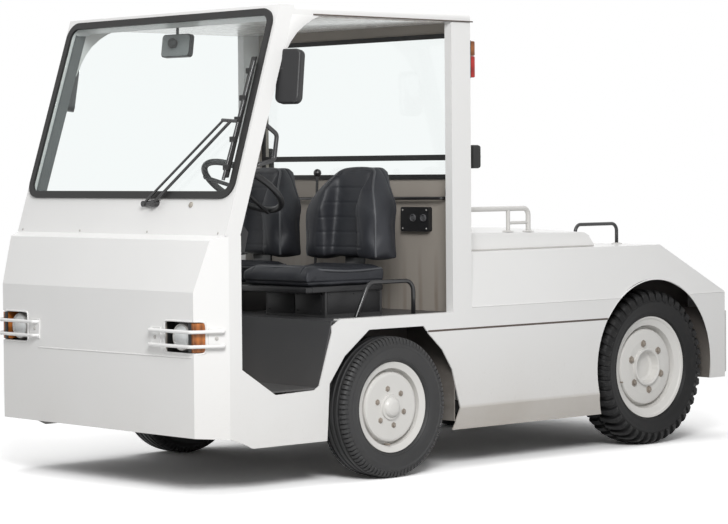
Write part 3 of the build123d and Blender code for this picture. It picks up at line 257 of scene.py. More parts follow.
def streaked(name, colour, stain, top, pitch):
    """Dull paint with upright runs of rust and grime that fade out at a height."""
    material, place = new_material(name)
    cloud = place.noise(5, 4)
    runs = place.maths("SINE", place.part("x") * pitch + cloud * 2.5)
    runs = runs * place.maths("SINE", place.part("x") * (pitch * 0.37))
    low = ((top - place.part("z")) * 4).clamped()
    cover = (runs * cloud * 1.6).clamped() * low * 0.55
    tone = cloud.between(darker(colour, 0.93), darker(colour, 1.05)).over(stain, cover)
    skin = place.noise(300, 2).bump(0.2, 0.0005)
    return glossy_finish(material, place, Base_Color=tone, Roughness=cloud * 0.1 + 0.45, Normal=skin)


dress(streaked("inner_paint", (0.37, 0.335, 0.295), (0.17, 0.12, 0.085), 0.93, 95), "cab_back")

dress(enamel("floor_paint", (0.045, 0.045, 0.047), dust=0.35, shine=0.5), "cab_floor")
dress(enamel("arch_paint", (0.055, 0.048, 0.044), dust=0.9, shine=0.55), "wheel_houses")
dress(enamel("seat_box_paint", (0.020, 0.020, 0.021), dust=0.1, shine=0.45), "seat_base")

dress(enamel("chassis_paint", (0.03, 0.029, 0.028), dust=0.8, shine=0.5), "frame", "front_axle", "rear_axle",
      "leaf_springs", "left_knuckle", "right_knuckle", "tie_rod", "engine", "hitch", "pedals")
dress(enamel("rim_paint", (0.70, 0.69, 0.665), dust=0.25),
      "left_front_wheel", "right_front_wheel", "left_rear_wheel", "right_rear_wheel")

rail_paint = enamel("rail_paint", (0.62, 0.61, 0.59), dust=0.2)
dress(rail_paint, "hood_rails")

black_enamel = enamel("black_enamel", (0.022, 0.022, 0.023), dust=0.1, shine=0.3)
dress(black_enamel, "wiper", "hand_lever")


# Rubber, plastic and glass of the CAD pieces
# Window seals are extruded rubber, the dash, the controls and the mirror housings are moulded plastic, and the
# windows are flat sheet glass. The drop pin of the tow jaw is bare steel.
def grained(name, colour, shine, grain, depth, blotch=0.25):
    """Dull moulded surface with a fine even grain."""
    material, place = new_material(name)
    cloud = place.noise(9, 3)
    fine = place.noise(grain, 2)
    tone = cloud.between(darker(colour, 1 - blotch), darker(colour, 1 + blotch))
    rough = cloud * 0.12 + shine
    return glossy_finish(material, place, Base_Color=tone, Roughness=rough, Normal=fine.bump(0.5, depth))


rubber = grained("rubber", (0.008, 0.008, 0.008), 0.5, 300, 0.0004)
dress(rubber, "window_seals")
black_plastic = grained("black_plastic", (0.011, 0.011, 0.012), 0.42, 700, 0.0003)
dress(black_plastic, "dashboard", "steering_column", "steering_wheel", "wall_box", "mirrors")


def clear_glass(name, colour):
    """Thin sheet glass: mostly see-through, with a faint tint and its own gloss."""
    material, place = new_material(name)
    sheen = place.node("ShaderNodeBsdfGlossy", sockets={"Color": (1, 1, 1, 1), "Roughness": 0.02})
    pass_through = place.node("ShaderNodeBsdfTransparent", sockets={"Color": (*colour, 1)})
    edge = place.node("ShaderNodeLayerWeight", sockets={"Blend": 0.5}, out="Facing")
    cloud = place.noise(3, 2)
    share = edge * 0.05 + cloud * 0.012
    return finish_with(material, place.node("ShaderNodeMixShader", sockets={0: share, 1: pass_through, 2: sheen}))


dress(clear_glass("window_glass", (0.955, 0.975, 0.972)), "window_glass")
dress(grained("bare_steel", (0.45, 0.44, 0.43), 0.3, 400, 0.0002), "hitch_pin")


# Tyres
# Front ones are ribbed highway tyres with fine cuts along the shoulders, rear ones are wider traction tyres
# with deep lugs. Each is a moulded carcass with its tread blocks standing on it.
SIDES = ((1, "left"), (-1, "right"))
FRONT_AXLE_Y = -0.615
FRONT_RADIUS = 0.287
FRONT_TYRE_X = 0.662
REAR_AXLE_Y = 1.035
REAR_RADIUS = 0.349
REAR_TYRE_X = 0.588
SHOULDER_BLOCKS = 88
LUGS = 44
LUG_SLANT = 14
# Straight ribs of the front tread: where each starts and ends across the tyre
FRONT_RIBS = ((-0.011, 0.011), (0.019, 0.038), (-0.038, -0.019))
# Section of a shoulder block and of a lug: place across the tyre, radius
BLOCK_SECTION = (
    (0.045, 0.272), (0.046, 0.2858), (0.060, 0.2838), (0.068, 0.279), (0.0752, 0.264), (0.0745, 0.255), (0.070, 0.255),
)
LUG_SECTION = (
    (0.004, 0.325), (0.005, 0.3485), (0.050, 0.3475), (0.074, 0.342), (0.090, 0.330), (0.0965, 0.308),
    (0.094, 0.296), (0.080, 0.300),
)
TURN_STEPS = 96
# Corners closer than this are one
SAME_PLACE = 0.00002


def pick(*chosen):
    """Select only these pieces, the last one active."""
    bpy.ops.object.select_all(action="DESELECT")
    for piece in chosen:
        piece.select_set(True)
    bpy.context.view_layer.objects.active = chosen[-1]


def edit_mode(on=True):
    bpy.ops.object.mode_set(mode="EDIT" if on else "OBJECT")


def open_mesh(piece):
    """Enter edit mode on a piece with all of it selected."""
    pick(piece)
    edit_mode()
    bpy.ops.mesh.select_all(action="SELECT")


def outline(points):
    """A line of edges drawn through the points by extruding one corner after the other."""
    bpy.ops.object.select_all(action="DESELECT")
    bpy.ops.mesh.primitive_plane_add(size=0.01, location=(0, 0, 0))
    edit_mode()
    bpy.ops.mesh.merge(type="CENTER")
    bpy.ops.transform.translate(value=points[0])
    for here, there in zip(points, points[1:]):
        step = tuple(b - a for a, b in zip(here, there))
        bpy.ops.mesh.extrude_region_move(TRANSFORM_OT_translate={"value": step})
    return bpy.context.object


def merge_corners():
    """In edit mode, make corners that lie on each other one, with all selected."""
    bpy.ops.mesh.select_all(action="SELECT")
    bpy.ops.mesh.remove_doubles(threshold=SAME_PLACE)


def face_outwards():
    """Point all faces out, and leave edit mode."""
    bpy.ops.mesh.select_all(action="SELECT")
    bpy.ops.mesh.normals_make_consistent(inside=False)
    edit_mode(False)


def spun(corners, centre, axis, steps):
    """A form swept once round an axis through centre."""
    form = outline(corners)
    bpy.ops.mesh.select_all(action="SELECT")
    bpy.ops.mesh.spin(steps=steps, angle=2 * pi, center=centre, axis=axis)
    merge_corners()
    face_outwards()
    return form


def turned(points, centre, side=1):
    """A closed ring turned about the X axis through centre, from (x, radius) points."""
    x, y, z = centre
    corners = [(x + side * px, y, z + radius) for px, radius in points]
    return spun(corners + corners[:1], centre, (1, 0, 0), TURN_STEPS)


def pushed(points, across):
    """A closed outline filled and pushed along a vector."""
    form = outline(points + points[:1])
    merge_corners()
    bpy.ops.mesh.edge_face_add()
    bpy.ops.mesh.extrude_region_move(TRANSFORM_OT_translate={"value": across})
    face_outwards()
    return form


def modify(piece, kind, **settings):
    """Put one modifier on a piece and apply it."""
    pick(piece)
    change = piece.modifiers.new(kind.lower(), kind)
    for key, value in settings.items():
        setattr(change, key, value)
    bpy.ops.object.modifier_apply(modifier=change.name)
    return piece


def bevelled(piece, width, segments=2, angle=35):
    """Round the sharp edges of a piece."""
    return modify(piece, "BEVEL", width=width, segments=segments, limit_method="ANGLE", angle_limit=radians(angle))


def around_wheel(piece, centre, count):
    """Repeat what is there round the wheel's axle."""
    open_mesh(piece)
    angle = 2 * pi * (count - 1) / count
    bpy.ops.mesh.spin(steps=count - 1, dupli=True, angle=angle, center=centre, axis=(1, 0, 0))
    edit_mode(False)
    return piece


def rotated(piece, angle, axis, hinge):
    """Turn a piece's mesh about a hinge."""
    open_mesh(piece)
    bpy.ops.transform.rotate(value=angle, orient_axis=axis, center_override=hinge)
    edit_mode(False)
    return piece


def joined(*parts):
    """One mesh of several."""
    pick(*parts)
    bpy.ops.object.join()
    return bpy.context.object


def complete(piece, name, material, body, smooth=32, replaces=()):
    """Name a finished piece, put its place into its mesh and let it move with its body."""
    pick(piece)
    bpy.ops.object.transform_apply()
    bpy.ops.object.shade_smooth_by_angle(angle=radians(smooth))
    piece.name = name
    piece.data.name = name
    piece.data.materials.clear()
    piece.data.materials.append(material)
    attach(piece, body)
    if replaces:
        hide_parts(*replaces)
    return piece


def tyre_rubber(name, dark, light, gloss):
    """Black rubber of uneven tone with dust, and a fine moulding grain."""
    material, place = new_material(name)
    cloud = place.noise(7, 4)
    fine = place.noise(260, 3)
    dust = (place.noise(28, 5) - 0.52).clamped() * 1.2
    tone = cloud.between((dark, dark, dark * 1.05), (light, light, light * 1.05)).over((0.10, 0.09, 0.08), dust * 0.3)
    rough = 0.55 + dust * 0.3
    return glossy_finish(material, place, Base_Color=tone, Roughness=rough, Normal=fine.bump(0.25, 0.0008),
                         Specular_IOR_Level=gloss)


ribbed_rubber = tyre_rubber("ribbed_rubber", 0.008, 0.017, 0.5)
lugged_rubber = tyre_rubber("lugged_rubber", 0.004, 0.009, 0.25)


def carcass(centre, side, radius, rim, half, bead_half):
    """The moulded body of a tyre, with raised rings on its walls."""
    wall = (radius + rim) / 2
    right = [
        (half * 0.70, radius - 0.011), (half * 0.86, radius - 0.017), (half - 0.006, radius - 0.030),
        (half - 0.0015, wall + 0.012), (half + 0.0005, wall + 0.008), (half + 0.0005, wall + 0.004),
        (half - 0.0015, wall), (half - 0.0025, wall - 0.012), (half - 0.008, wall - 0.028),
        (half - 0.014, rim + 0.014), (half - 0.013, rim + 0.010), (half - 0.017, rim + 0.006),
        (bead_half, rim + 0.001), (bead_half - 0.004, rim - 0.012),
    ]
    left = [(-px, pr) for px, pr in reversed(right)]
    return turned([(half * 0.35, radius - 0.009), *right, *left, (-half * 0.35, radius - 0.009)], centre, side)


def rib(centre, side, x0, x1, top, foot):
    """One straight rib round the tread."""
    edge = 0.0015
    section = [(x0, foot), (x0 + edge, top - edge), (x0 + 2 * edge, top)]
    section += [(x1 - 2 * edge, top), (x1 - edge, top - edge), (x1, foot)]
    return turned(section, centre, side)


def front_tyre(side):
    """Three ribs and two rows of fine shoulder blocks on a carcass."""
    centre = x, y, z = side * FRONT_TYRE_X, FRONT_AXLE_Y, FRONT_RADIUS
    parts = [carcass(centre, side, FRONT_RADIUS, rim=0.184, half=0.080, bead_half=0.052)]
    for x0, x1 in FRONT_RIBS:
        parts.append(rib(centre, side, x0, x1, FRONT_RADIUS - 0.0003, FRONT_RADIUS - 0.012))
    length = 0.0154
    for way in (-1, 1):
        points = [(x + way * px, y - length / 2, z + pr) for px, pr in BLOCK_SECTION]
        block = bevelled(pushed(points, (0, length, 0)), 0.0012, 1)
        parts.append(around_wheel(block, centre, SHOULDER_BLOCKS))
    return joined(*parts)


def rear_tyre(side):
    """Two rows of deep slanting lugs, half a step apart, on a carcass."""
    centre = x, y, z = side * REAR_TYRE_X, REAR_AXLE_Y, REAR_RADIUS
    parts = [carcass(centre, side, REAR_RADIUS - 0.006, rim=0.228, half=0.092, bead_half=0.065)]
    length = 0.027
    for way in (-1, 1):
        points = [(x + way * px, y - length / 2, z + pr) for px, pr in LUG_SECTION]
        hinge = (x + way * 0.05, y, z + REAR_RADIUS)
        lug = rotated(pushed(points, (0, length, 0)), way * radians(LUG_SLANT), "Z", hinge)
        lug = bevelled(lug, 0.0025, 1)
        if way < 0:
            rotated(lug, pi / LUGS, "X", centre)
        parts.append(around_wheel(lug, centre, LUGS))
    return joined(*parts)


for side, word in SIDES:
    for end, tyre, mix in (("front", front_tyre, ribbed_rubber), ("rear", rear_tyre, lugged_rubber)):
        corner = f"{word}_{end}"
        complete(tyre(side), f"{corner}_tread", mix, f"{corner}_roller", 40, [f"{corner}_tyre"])


# Seats
# Two buckets of moulded foam under sewn black vinyl, with a welt round each edge, paler as painted sheen, and
# channels across the middle. Each back stands on a steel bracket that is bolted to the box under the cushion.
SEAT_X = 0.302
BACK_FOOT = 0.869
CUSHION_FOOT = 0.7
# Heights of the back's channels, and places of the cushion's along Y
CHANNELS = (0.925, 0.987, 1.049, 1.111, 1.173, 1.232)
CUSHION_CHANNELS = (-0.80, -0.73, -0.66, -0.59, -0.52)
PANEL_HALF = 0.150
STITCH_DEPTH = 0.0035
WELT = 0.0050
PRESSURE = 4
SWELLING_FRAMES = 20
# Half of the front edge of the bucket's wings: half width, y, z
WING_EDGE = (
    (0.224, -0.520, 0.874), (0.231, -0.531, 0.900), (0.231, -0.531, 0.960), (0.231, -0.531, 1.058),
    (0.212, -0.519, 1.120), (0.171, -0.490, 1.180), (0.139, -0.451, 1.230), (0.112, -0.418, 1.264),
    (0.05, -0.410, 1.270),
)
# Half of the top edge of the cushion: half width, y, z
CUSHION_EDGE = (
    (0.215, -0.470, 0.858), (0.215, -0.600, 0.839), (0.215, -0.800, 0.852), (0.180, -0.850, 0.856),
    (0.0, -0.856, 0.857),
)
# Bracket of a back, seen from the side: y, z
BRACKET = ((-0.467, 0.740), (-0.428, 0.740), (-0.428, 0.885), (-0.438, 0.885), (-0.438, 0.765), (-0.467, 0.765))


def sewn_vinyl(name):
    """Black vinyl with pressed grain, small creases, and paler rubbed patches."""
    material, place = new_material(name)
    cloud = place.noise(6, 3)
    worn = (place.noise(15, 4) - 0.56).clamped() * 1.4
    tone = cloud.between((0.017, 0.018, 0.022), (0.033, 0.035, 0.041)).over((0.10, 0.10, 0.108), worn * 0.35)
    crease = place.noise(26, 2).bump(0.2, 0.002)
    grain = place.noise(620, 2).bump(0.35, 0.0005, crease)
    rough = cloud * 0.12 + worn * 0.15 + 0.42
    return glossy_finish(material, place, Base_Color=tone, Roughness=rough, Specular_IOR_Level=0.34, Normal=grain)


def copy_of(node, name):
    """A new piece with a CAD node's shape, its corners merged, left in edit mode."""
    piece = bpy.data.objects.new(name, nodes[node].data.copy())
    bpy.context.scene.collection.objects.link(piece)
    pick(piece)
    edit_mode()
    merge_corners()
    return piece


def foam(name, node, foot, cell=0.006, slack=0.009, swell=0.014):
    """The left pad of a CAD node, cut flat at its foot, shrunk a little and blown up under its cover."""
    pad = copy_of(node, name)
    for corner, normal in (((0.01, 0, 0), (1, 0, 0)), ((0, 0, foot), (0, 0, 1))):
        bpy.ops.mesh.select_all(action="SELECT")
        bpy.ops.mesh.bisect(plane_co=corner, plane_no=normal, clear_inner=True, use_fill=True)
    edit_mode(False)
    modify(pad, "REMESH", mode="VOXEL", voxel_size=cell)
    modify(pad, "SMOOTH", factor=0.5, iterations=10)
    modify(pad, "DISPLACE", strength=-slack, mid_level=0)
    start = [vertex.co.copy() for vertex in pad.data.vertices]
    pick(pad)
    cover = pad.modifiers.new("cover", "CLOTH")
    cover.settings.use_pressure = True
    cover.settings.uniform_pressure_force = PRESSURE
    cover.settings.effector_weights.gravity = 0
    for step in range(1, SWELLING_FRAMES + 1):
        bpy.context.scene.frame_set(step)
    bpy.ops.object.modifier_apply(modifier=cover.name)
    bpy.context.scene.frame_set(1)
    for vertex, place in zip(pad.data.vertices, start):
        way = vertex.co - place
        if way.length > swell:
            vertex.co = place + way * (swell / way.length)
    return modify(pad, "SMOOTH", factor=0.6, iterations=40)


def pressed(pad, depth, share):
    """Sink the surface by depth where share of a place is 1, as stitching does."""
    group = pad.vertex_groups.new(name="stitches")
    for vertex in pad.data.vertices:
        group.add([vertex.index], share(vertex.co), "REPLACE")
    modify(pad, "DISPLACE", strength=-depth, mid_level=0, vertex_group="stitches")
    pad.vertex_groups.clear()


def cord_along(points, radius, closed=False):
    """A round cord of even thickness through the points, as a mesh."""
    line = bpy.data.curves.new("line", "CURVE")
    line.dimensions = "3D"
    line.bevel_depth = radius
    line.bevel_resolution = 2
    line.use_fill_caps = not closed
    spline = line.splines.new("NURBS")
    spline.points.add(len(points) - 1)
    for point, place in zip(spline.points, points):
        point.co = (*place, 1)
    spline.order_u = 3
    spline.use_endpoint_u = not closed
    spline.use_cyclic_u = closed
    spline.resolution_u = 6
    cord = bpy.data.objects.new("line", line)
    bpy.context.scene.collection.objects.link(cord)
    pick(cord)
    bpy.ops.object.convert(target="MESH")
    return bpy.context.object


def welt_on(pad, path, name):
    """A sewn welt that lies on the pad's surface along a path."""
    laid = [pad.closest_point_on_mesh(Vector(point))[1] for point in path]
    return complete(cord_along(laid, WELT), name, welt_vinyl_painted_sheen, "chassis", 60)


def dip(distance, width):
    """1 on a seam, falling to 0 at a distance of width."""
    return max(0.0, 1 - abs(distance) / width)


def back_stitches(place):
    """The channels across the panel and the seams beside it."""
    across = abs(place.x - SEAT_X)
    panel = PANEL_HALF - 0.055 * max(0.0, min(1.0, (place.z - 0.95) / 0.30))
    if place.y > -0.40:
        return dip(place.y + 0.385, 0.008)
    fade = max(0.0, min(1.0, (panel - across) / 0.02))
    return max([dip(across - panel, 0.012) * 0.25] + [dip(place.z - z, 0.008) * 0.5 * fade for z in CHANNELS])


def cushion_stitches(place):
    """The channels across the cushion, the seams beside them and the one round its front."""
    across = abs(place.x - SEAT_X)
    if place.z < 0.83:
        return dip(place.z - 0.792, 0.008)
    if across > PANEL_HALF:
        return dip(across - PANEL_HALF, 0.010)
    return max(dip(place.y - y, 0.010) for y in CUSHION_CHANNELS)


def whole_edge(half_edge):
    """Both halves of the left pad's edge. A point on its middle line comes once."""
    left = [(SEAT_X + half, y, z) for half, y, z in half_edge]
    return left + [(SEAT_X - half, y, z) for half, y, z in reversed(half_edge) if half]


def other_seat(piece, name):
    """A copy of a finished piece for the seat on the right."""
    twin = piece.copy()
    twin.data = piece.data.copy()
    bpy.context.scene.collection.objects.link(twin)
    pick(twin)
    bpy.ops.transform.translate(value=(-2 * SEAT_X, 0, 0))
    return complete(twin, name, piece.data.materials[0], "chassis", 180)


sewn_black = sewn_vinyl("sewn_black")
# The welts' grey is painted sheen on the black vinyl
welt_vinyl_painted_sheen = grained("welt_vinyl_painted_sheen", (0.070, 0.073, 0.079), 0.38, 400, 0.0003)

for part, node, foot, stitches, half_edge, fill in (
    ("back", "seat_backs", BACK_FOOT, back_stitches, WING_EDGE, 0.8),
    ("cushion", "seat_cushions", CUSHION_FOOT, cushion_stitches, CUSHION_EDGE, 0.75),
):
    pad = foam(f"seat_{part}", node, foot)
    modify(pad, "SUBSURF", levels=1, render_levels=1)
    pressed(pad, STITCH_DEPTH, stitches)
    welt = welt_on(pad, whole_edge(half_edge), f"left_{part}_welt")
    other_seat(welt, f"right_{part}_welt")
    complete(pad, f"left_seat_{part}", sewn_black, "chassis", 180, [node])
    twin = other_seat(pad, f"right_seat_{part}")

for side, word in SIDES:
    post = [(side * SEAT_X - 0.060, y, z) for y, z in BRACKET]
    complete(bevelled(pushed(post, (0.120, 0, 0)), 0.003), f"{word}_seat_bracket", black_enamel, "chassis")


# Wheel nuts, washers and valves
# Six steel nuts on studs, dull with age, hold each pressed wheel to its hub. The front wheels have their valve
# low in the disc, the rear ones beside the side ring.
WHEEL_NUTS = 6
DISCS = (
    # end, x of the disc, y, z, radius of the nuts' circle, first nut's angle, nut's size, valve's y and z from the axle
    ("front", 0.7063, FRONT_AXLE_Y, FRONT_RADIUS, 0.0765, 42, 0.0130, (-0.020, -0.150)),
    ("rear", 0.6328, REAR_AXLE_Y, REAR_RADIUS, 0.1065, 40, 0.0180, (-0.175, -0.060)),
)


def cylinder(place, radius, depth, sides):
    """A capped cylinder standing along Z at a place."""
    bpy.ops.object.select_all(action="DESELECT")
    bpy.ops.mesh.primitive_cylinder_add(vertices=sides, radius=radius, depth=depth, location=place)
    return bpy.context.object


def placed(piece, matrix):
    """Move and turn a piece, mesh and all."""
    pick(piece)
    piece.matrix_world = matrix
    bpy.ops.object.transform_apply()
    return piece


def aimed(piece, place, way):
    """Turn a piece that stands along Z at the origin, and put its foot at a place."""
    return placed(piece, Matrix.Translation(place) @ Vector(way).to_track_quat("Z", "Y").to_matrix().to_4x4())


def nut(place, way, size):
    """A nut on its washer with the end of its stud."""
    washer = bevelled(cylinder((0, 0, size * 0.1), size * 1.3, size * 0.2, 24), size * 0.05, 1)
    body = bevelled(cylinder((0, 0, size * 0.6), size, size * 0.8, 6), size * 0.1, 1)
    stud = bevelled(cylinder((0, 0, size * 0.8), size * 0.5, size * 1.2, 16), size * 0.08, 1)
    return aimed(joined(washer, body, stud), place, way)


zinc = grained("zinc", (0.50, 0.49, 0.47), 0.34, 300, 0.0003)
nut_steel = grained("nut_steel", (0.29, 0.25, 0.21), 0.36, 120, 0.0004, 0.5)

for side, word in SIDES:
    for end, x, y, z, ring, first, size, valve in DISCS:
        nuts = []
        for step in range(WHEEL_NUTS):
            angle = radians(first + 360 / WHEEL_NUTS * step)
            nuts.append(nut((side * x, y + ring * cos(angle), z + ring * sin(angle)), (side, 0, 0), size))
        stem = cylinder((0, 0, 0.012), 0.004, 0.03, 12)
        aimed(stem, (side * x, y + valve[0], z + valve[1]), (side, 0, 0))
        complete(joined(*nuts, stem), f"{word}_{end}_wheel_nuts", nut_steel, f"{word}_{end}_roller", 30)


# Headlamps
# A round sealed lamp in a black pocket on each side of the nose: a bright bowl, a bulb shield and a fluted
# glass, mostly a pale white layer that is painted reflection, held by a plated ring
LAMP_CENTRE = (0.539, -1.556, 0.6115)
LAMP_SCALE = 1.17
# Profiles of a lamp before LAMP_SCALE: radius, place along Y
BOWL = (
    (0.0, 0.034), (0.011, 0.0335), (0.023, 0.028), (0.033, 0.018), (0.0400, 0.002), (0.0420, 0.002),
    (0.035, 0.020), (0.024, 0.031), (0.011, 0.037), (0.0, 0.0375),
)
LAMP_RING = (
    (0.0390, -0.002), (0.0405, -0.004), (0.0440, -0.003), (0.0460, 0.002), (0.0460, 0.034), (0.0430, 0.034),
    (0.0430, 0.004), (0.0390, 0.002), (0.0390, -0.002),
)
LAMP_GLASS = (
    (0.0, -0.008), (0.013, -0.0075), (0.025, -0.0055), (0.035, -0.002), (0.0400, 0.001), (0.0400, 0.0035),
    (0.026, 0.0015), (0.013, -0.001), (0.0, -0.0018),
)
# The bulb shield isn't scaled
BULB_SHIELD = ((0.0, 0.012), (0.008, 0.0125), (0.010, 0.015), (0.010, 0.030), (0.0, 0.038))


def lathed(points, centre, axis, steps=48, scale=1):
    """A form turned about the Y or Z axis through centre, from (radius, along) points. Only radii are scaled."""
    x, y, z = centre
    if axis == "Y":
        return spun([(x + radius * scale, y + along, z) for radius, along in points], centre, (0, 1, 0), steps)
    return spun([(x + radius * scale, y, z + along) for radius, along in points], centre, (0, 0, 1), steps)


def bright_metal(name, colour, rough):
    """Polished plating with faint clouds."""
    material, place = new_material(name)
    cloud = place.noise(14, 3)
    tone = cloud.between(darker(colour, 0.9), colour)
    return glossy_finish(material, place, Base_Color=tone, Metallic=1.0, Roughness=cloud * 0.1 + rough)


def fluted_glass(name, pitch):
    """Pressed lamp glass with upright flutes, mostly covered by a pale white layer that is painted reflection."""
    material, place = new_material(name)
    flutes = place.maths("SINE", place.part("x") * (2 * pi / pitch))
    rough = place.noise(40, 2) * 0.08 + 0.06
    pass_through = place.node("ShaderNodeBsdfTransparent", sockets={"Color": (0.90, 0.92, 0.92, 1)})
    # The pale white layer over most of the glass is painted reflection
    sheen = place.node("ShaderNodeBsdfPrincipled", sockets={
        "Base Color": (0.93, 0.95, 0.95, 1), "Roughness": rough, "Normal": flutes.bump(0.6, 0.0012)})
    share = flutes * 0.08 + 0.80
    return finish_with(material, place.node("ShaderNodeMixShader", sockets={0: share, 1: pass_through, 2: sheen}))


plating = bright_metal("plating", (0.82, 0.82, 0.82), 0.08)
fluted_glass_painted_reflection = fluted_glass("fluted_glass_painted_reflection", 0.006)

for side, word in SIDES:
    x, y, z = LAMP_CENTRE
    centre = (side * x, y, z)
    bowl = lathed(BOWL, centre, "Y", scale=LAMP_SCALE)
    shield = lathed(BULB_SHIELD, centre, "Y", 24)
    complete(joined(bowl, shield), f"{word}_lamp_bowl", plating, "chassis", 40, ["headlamps"])
    ring = lathed(LAMP_RING, centre, "Y", scale=LAMP_SCALE)
    complete(ring, f"{word}_lamp_ring", zinc, "chassis", 40)
    glass = lathed(LAMP_GLASS, centre, "Y", scale=LAMP_SCALE)
    complete(glass, f"{word}_lamp_glass", fluted_glass_painted_reflection, "chassis", 50)


# Turn lamps
# Each is one piece of amber acrylic that wraps the corner of the nose. It is ribbed inside, and its lighter and
# darker bands and patches are painted reflection of the reflector behind it.
def ribbed_amber(name, colour, dark):
    """Deep coloured plastic with ribs, with painted reflection of the reflector in lighter bands and patches."""
    material, place = new_material(name)
    ribs = place.maths("SINE", place.part("x") * 620)
    bands = place.maths("SINE", place.part("z") * 105)
    # Lighter bands and patches are painted reflection of the reflector behind the lens
    tone = ((ribs + bands) * 0.22 + place.noise(30, 2) * 0.7 + 0.1).clamped().between(dark, colour)
    rough = place.noise(60, 2) * 0.1 + 0.12
    return glossy_finish(material, place, Base_Color=tone, Roughness=rough, Normal=ribs.bump(0.4, 0.0015))


amber = ribbed_amber("ribbed_amber", (0.56, 0.19, 0.045), (0.15, 0.040, 0.006))
dress(amber, "turn_lamps")


# Lamp pockets
# Deep-drawn steel cups welded behind the openings of the nose: body colour darkened as painted shade near the
# outer edge, black paint round the lamp
POCKET_BLACK_FROM = -1.560


def pocket_paint(name, outer, inner, start):
    """Paint that goes from one colour to another over a few millimetres along Y."""
    material, place = new_material(name)
    cloud = place.noise(12, 3)
    share = ((place.part("y") - start) * 160 + cloud * 0.4).clamped()
    tone = cloud.between(darker(outer, 0.9), outer).over(inner, share)
    return glossy_finish(material, place, Base_Color=tone, Roughness=cloud * 0.1 + 0.4)


# The outer colour is the body's cream darkened to about half: painted shade inside the pocket
pocket = pocket_paint("pocket_paint", (0.40, 0.36, 0.32), (0.012, 0.012, 0.012), POCKET_BLACK_FROM)
dress(pocket, "lamp_boxes")


# Rims of the lamp pockets and bolts of their guards
# The sheet is rolled outwards round each pocket. Two bars guard it, with plates at their ends that are bolted
# to the front and to the cut corner of the nose.
RIM_Y = -1.5745
RIM_IN, RIM_FOOT, RIM_TOP = 0.455, 0.550, 0.675
RIM_CORNER = 0.022
RIM_PATH = (
    (0.646, -1.542, RIM_TOP), (0.634, RIM_Y, RIM_TOP), (0.55, RIM_Y, RIM_TOP), (RIM_IN + RIM_CORNER, RIM_Y, RIM_TOP),
    (0.456, RIM_Y, 0.673), (RIM_IN, RIM_Y, RIM_TOP - RIM_CORNER), (RIM_IN, RIM_Y, 0.61),
    (RIM_IN, RIM_Y, RIM_FOOT + RIM_CORNER), (0.456, RIM_Y, 0.552), (RIM_IN + RIM_CORNER, RIM_Y, RIM_FOOT),
    (0.55, RIM_Y, RIM_FOOT), (0.634, RIM_Y, RIM_FOOT), (0.646, -1.542, RIM_FOOT),
    (0.655, -1.528, 0.556), (0.655, -1.528, 0.61), (0.655, -1.528, 0.669),
)
for side, word in SIDES:
    rim = cord_along([(side * x, y, z) for x, y, z in RIM_PATH], 0.004, True)
    complete(rim, f"{word}_pocket_rim", body_paint, "chassis", 60)
    front_bolt = nut((side * 0.402, -1.5788, 0.608), (0, -1, 0), 0.0085)
    side_bolt = nut((side * 0.6745, -1.4925, 0.608), (side * 0.923, -0.385, 0), 0.0085)
    complete(joined(front_bolt, side_bolt), f"{word}_guard_bolts", zinc, "chassis", 30)


# Screws, plug and seam of the nose
# The cowl sheet is held by raised screws along its foot, a rubber plug closes a spare hole, and a low bead
# is pressed into the sheet under the lamps
ORIGIN = (0, 0, 0)
COWL_OUT = (0, -0.952, 0.305)
screws = [nut((x, -1.4545, 1.010), COWL_OUT, 0.0055) for x in (-0.655, -0.251, 0.198, 0.642)]
complete(joined(*screws), "cowl_screws", zinc, "chassis", 30)
plug = lathed([(0, 0.006), (0.007, 0.0055), (0.011, 0.003), (0.012, 0), (0.012, -0.002)], ORIGIN, "Z", 24)
aimed(plug, (0.435, -1.4198, 1.117), COWL_OUT)
complete(plug, "cowl_plug", grained("plug_grey", (0.34, 0.31, 0.27), 0.5, 300, 0.0003), "chassis", 40)
bead = cord_along([(x, -1.5742, z) for x, z in ((-0.38, 0.531), (0, 0.533), (0.626, 0.536))], 0.0028)
complete(bead, "nose_bead", body_paint, "chassis", 60)


# Shadow gaps and weather strips of the sides
# A thin brown strip over the joint between the upper and lower side sheets is painted shadow of the gap, pale
# rubber seals the hood's edges, and a thin gutter is glued along each side of the roof
def bar(x0, x1, y0, y1, z0, z1, edge=0.001):
    """A straight strip between two corners with softened edges."""
    bpy.ops.object.select_all(action="DESELECT")
    bpy.ops.mesh.primitive_cube_add(size=1, location=((x0 + x1) / 2, (y0 + y1) / 2, (z0 + z1) / 2))
    strip = bpy.context.object
    strip.scale = (abs(x1 - x0), y1 - y0, z1 - z0)
    bpy.ops.object.transform_apply()
    return bevelled(strip, edge, 2)


gutter_and_gap_shadow_brown = grained("gutter_and_gap_shadow_brown", (0.075, 0.055, 0.045), 0.5, 240, 0.0004)
strip_black = grained("strip_black", (0.012, 0.012, 0.012), 0.6, 300, 0.0004)
strip_cream = grained("strip_cream", (0.52, 0.51, 0.49), 0.55, 300, 0.0004, 0.1)
HOOD_STRIP = (0.8985, 0.9045)
# The side gap strip is painted shadow in the joint between the sheets
for side, word in SIDES:
    for name, x0, x1, rest, finish in (
        ("side_gap", 0.6890, 0.6908, (-0.384, 0.716, 0.5780, 0.5860, 0.0004), gutter_and_gap_shadow_brown),
        ("gutter", 0.6885, 0.6960, (-1.000, -0.118, 1.8575, 1.8625), gutter_and_gap_shadow_brown),
        ("hood_strip", 0.5545, 0.5600, (-0.105, 0.770, *HOOD_STRIP), strip_cream),
    ):
        complete(bar(side * x0, side * x1, *rest), f"{word}_{name}", finish, "chassis")
complete(bar(-0.552, 0.552, -0.1175, -0.1135, *HOOD_STRIP), "hood_front_strip", strip_cream, "chassis")
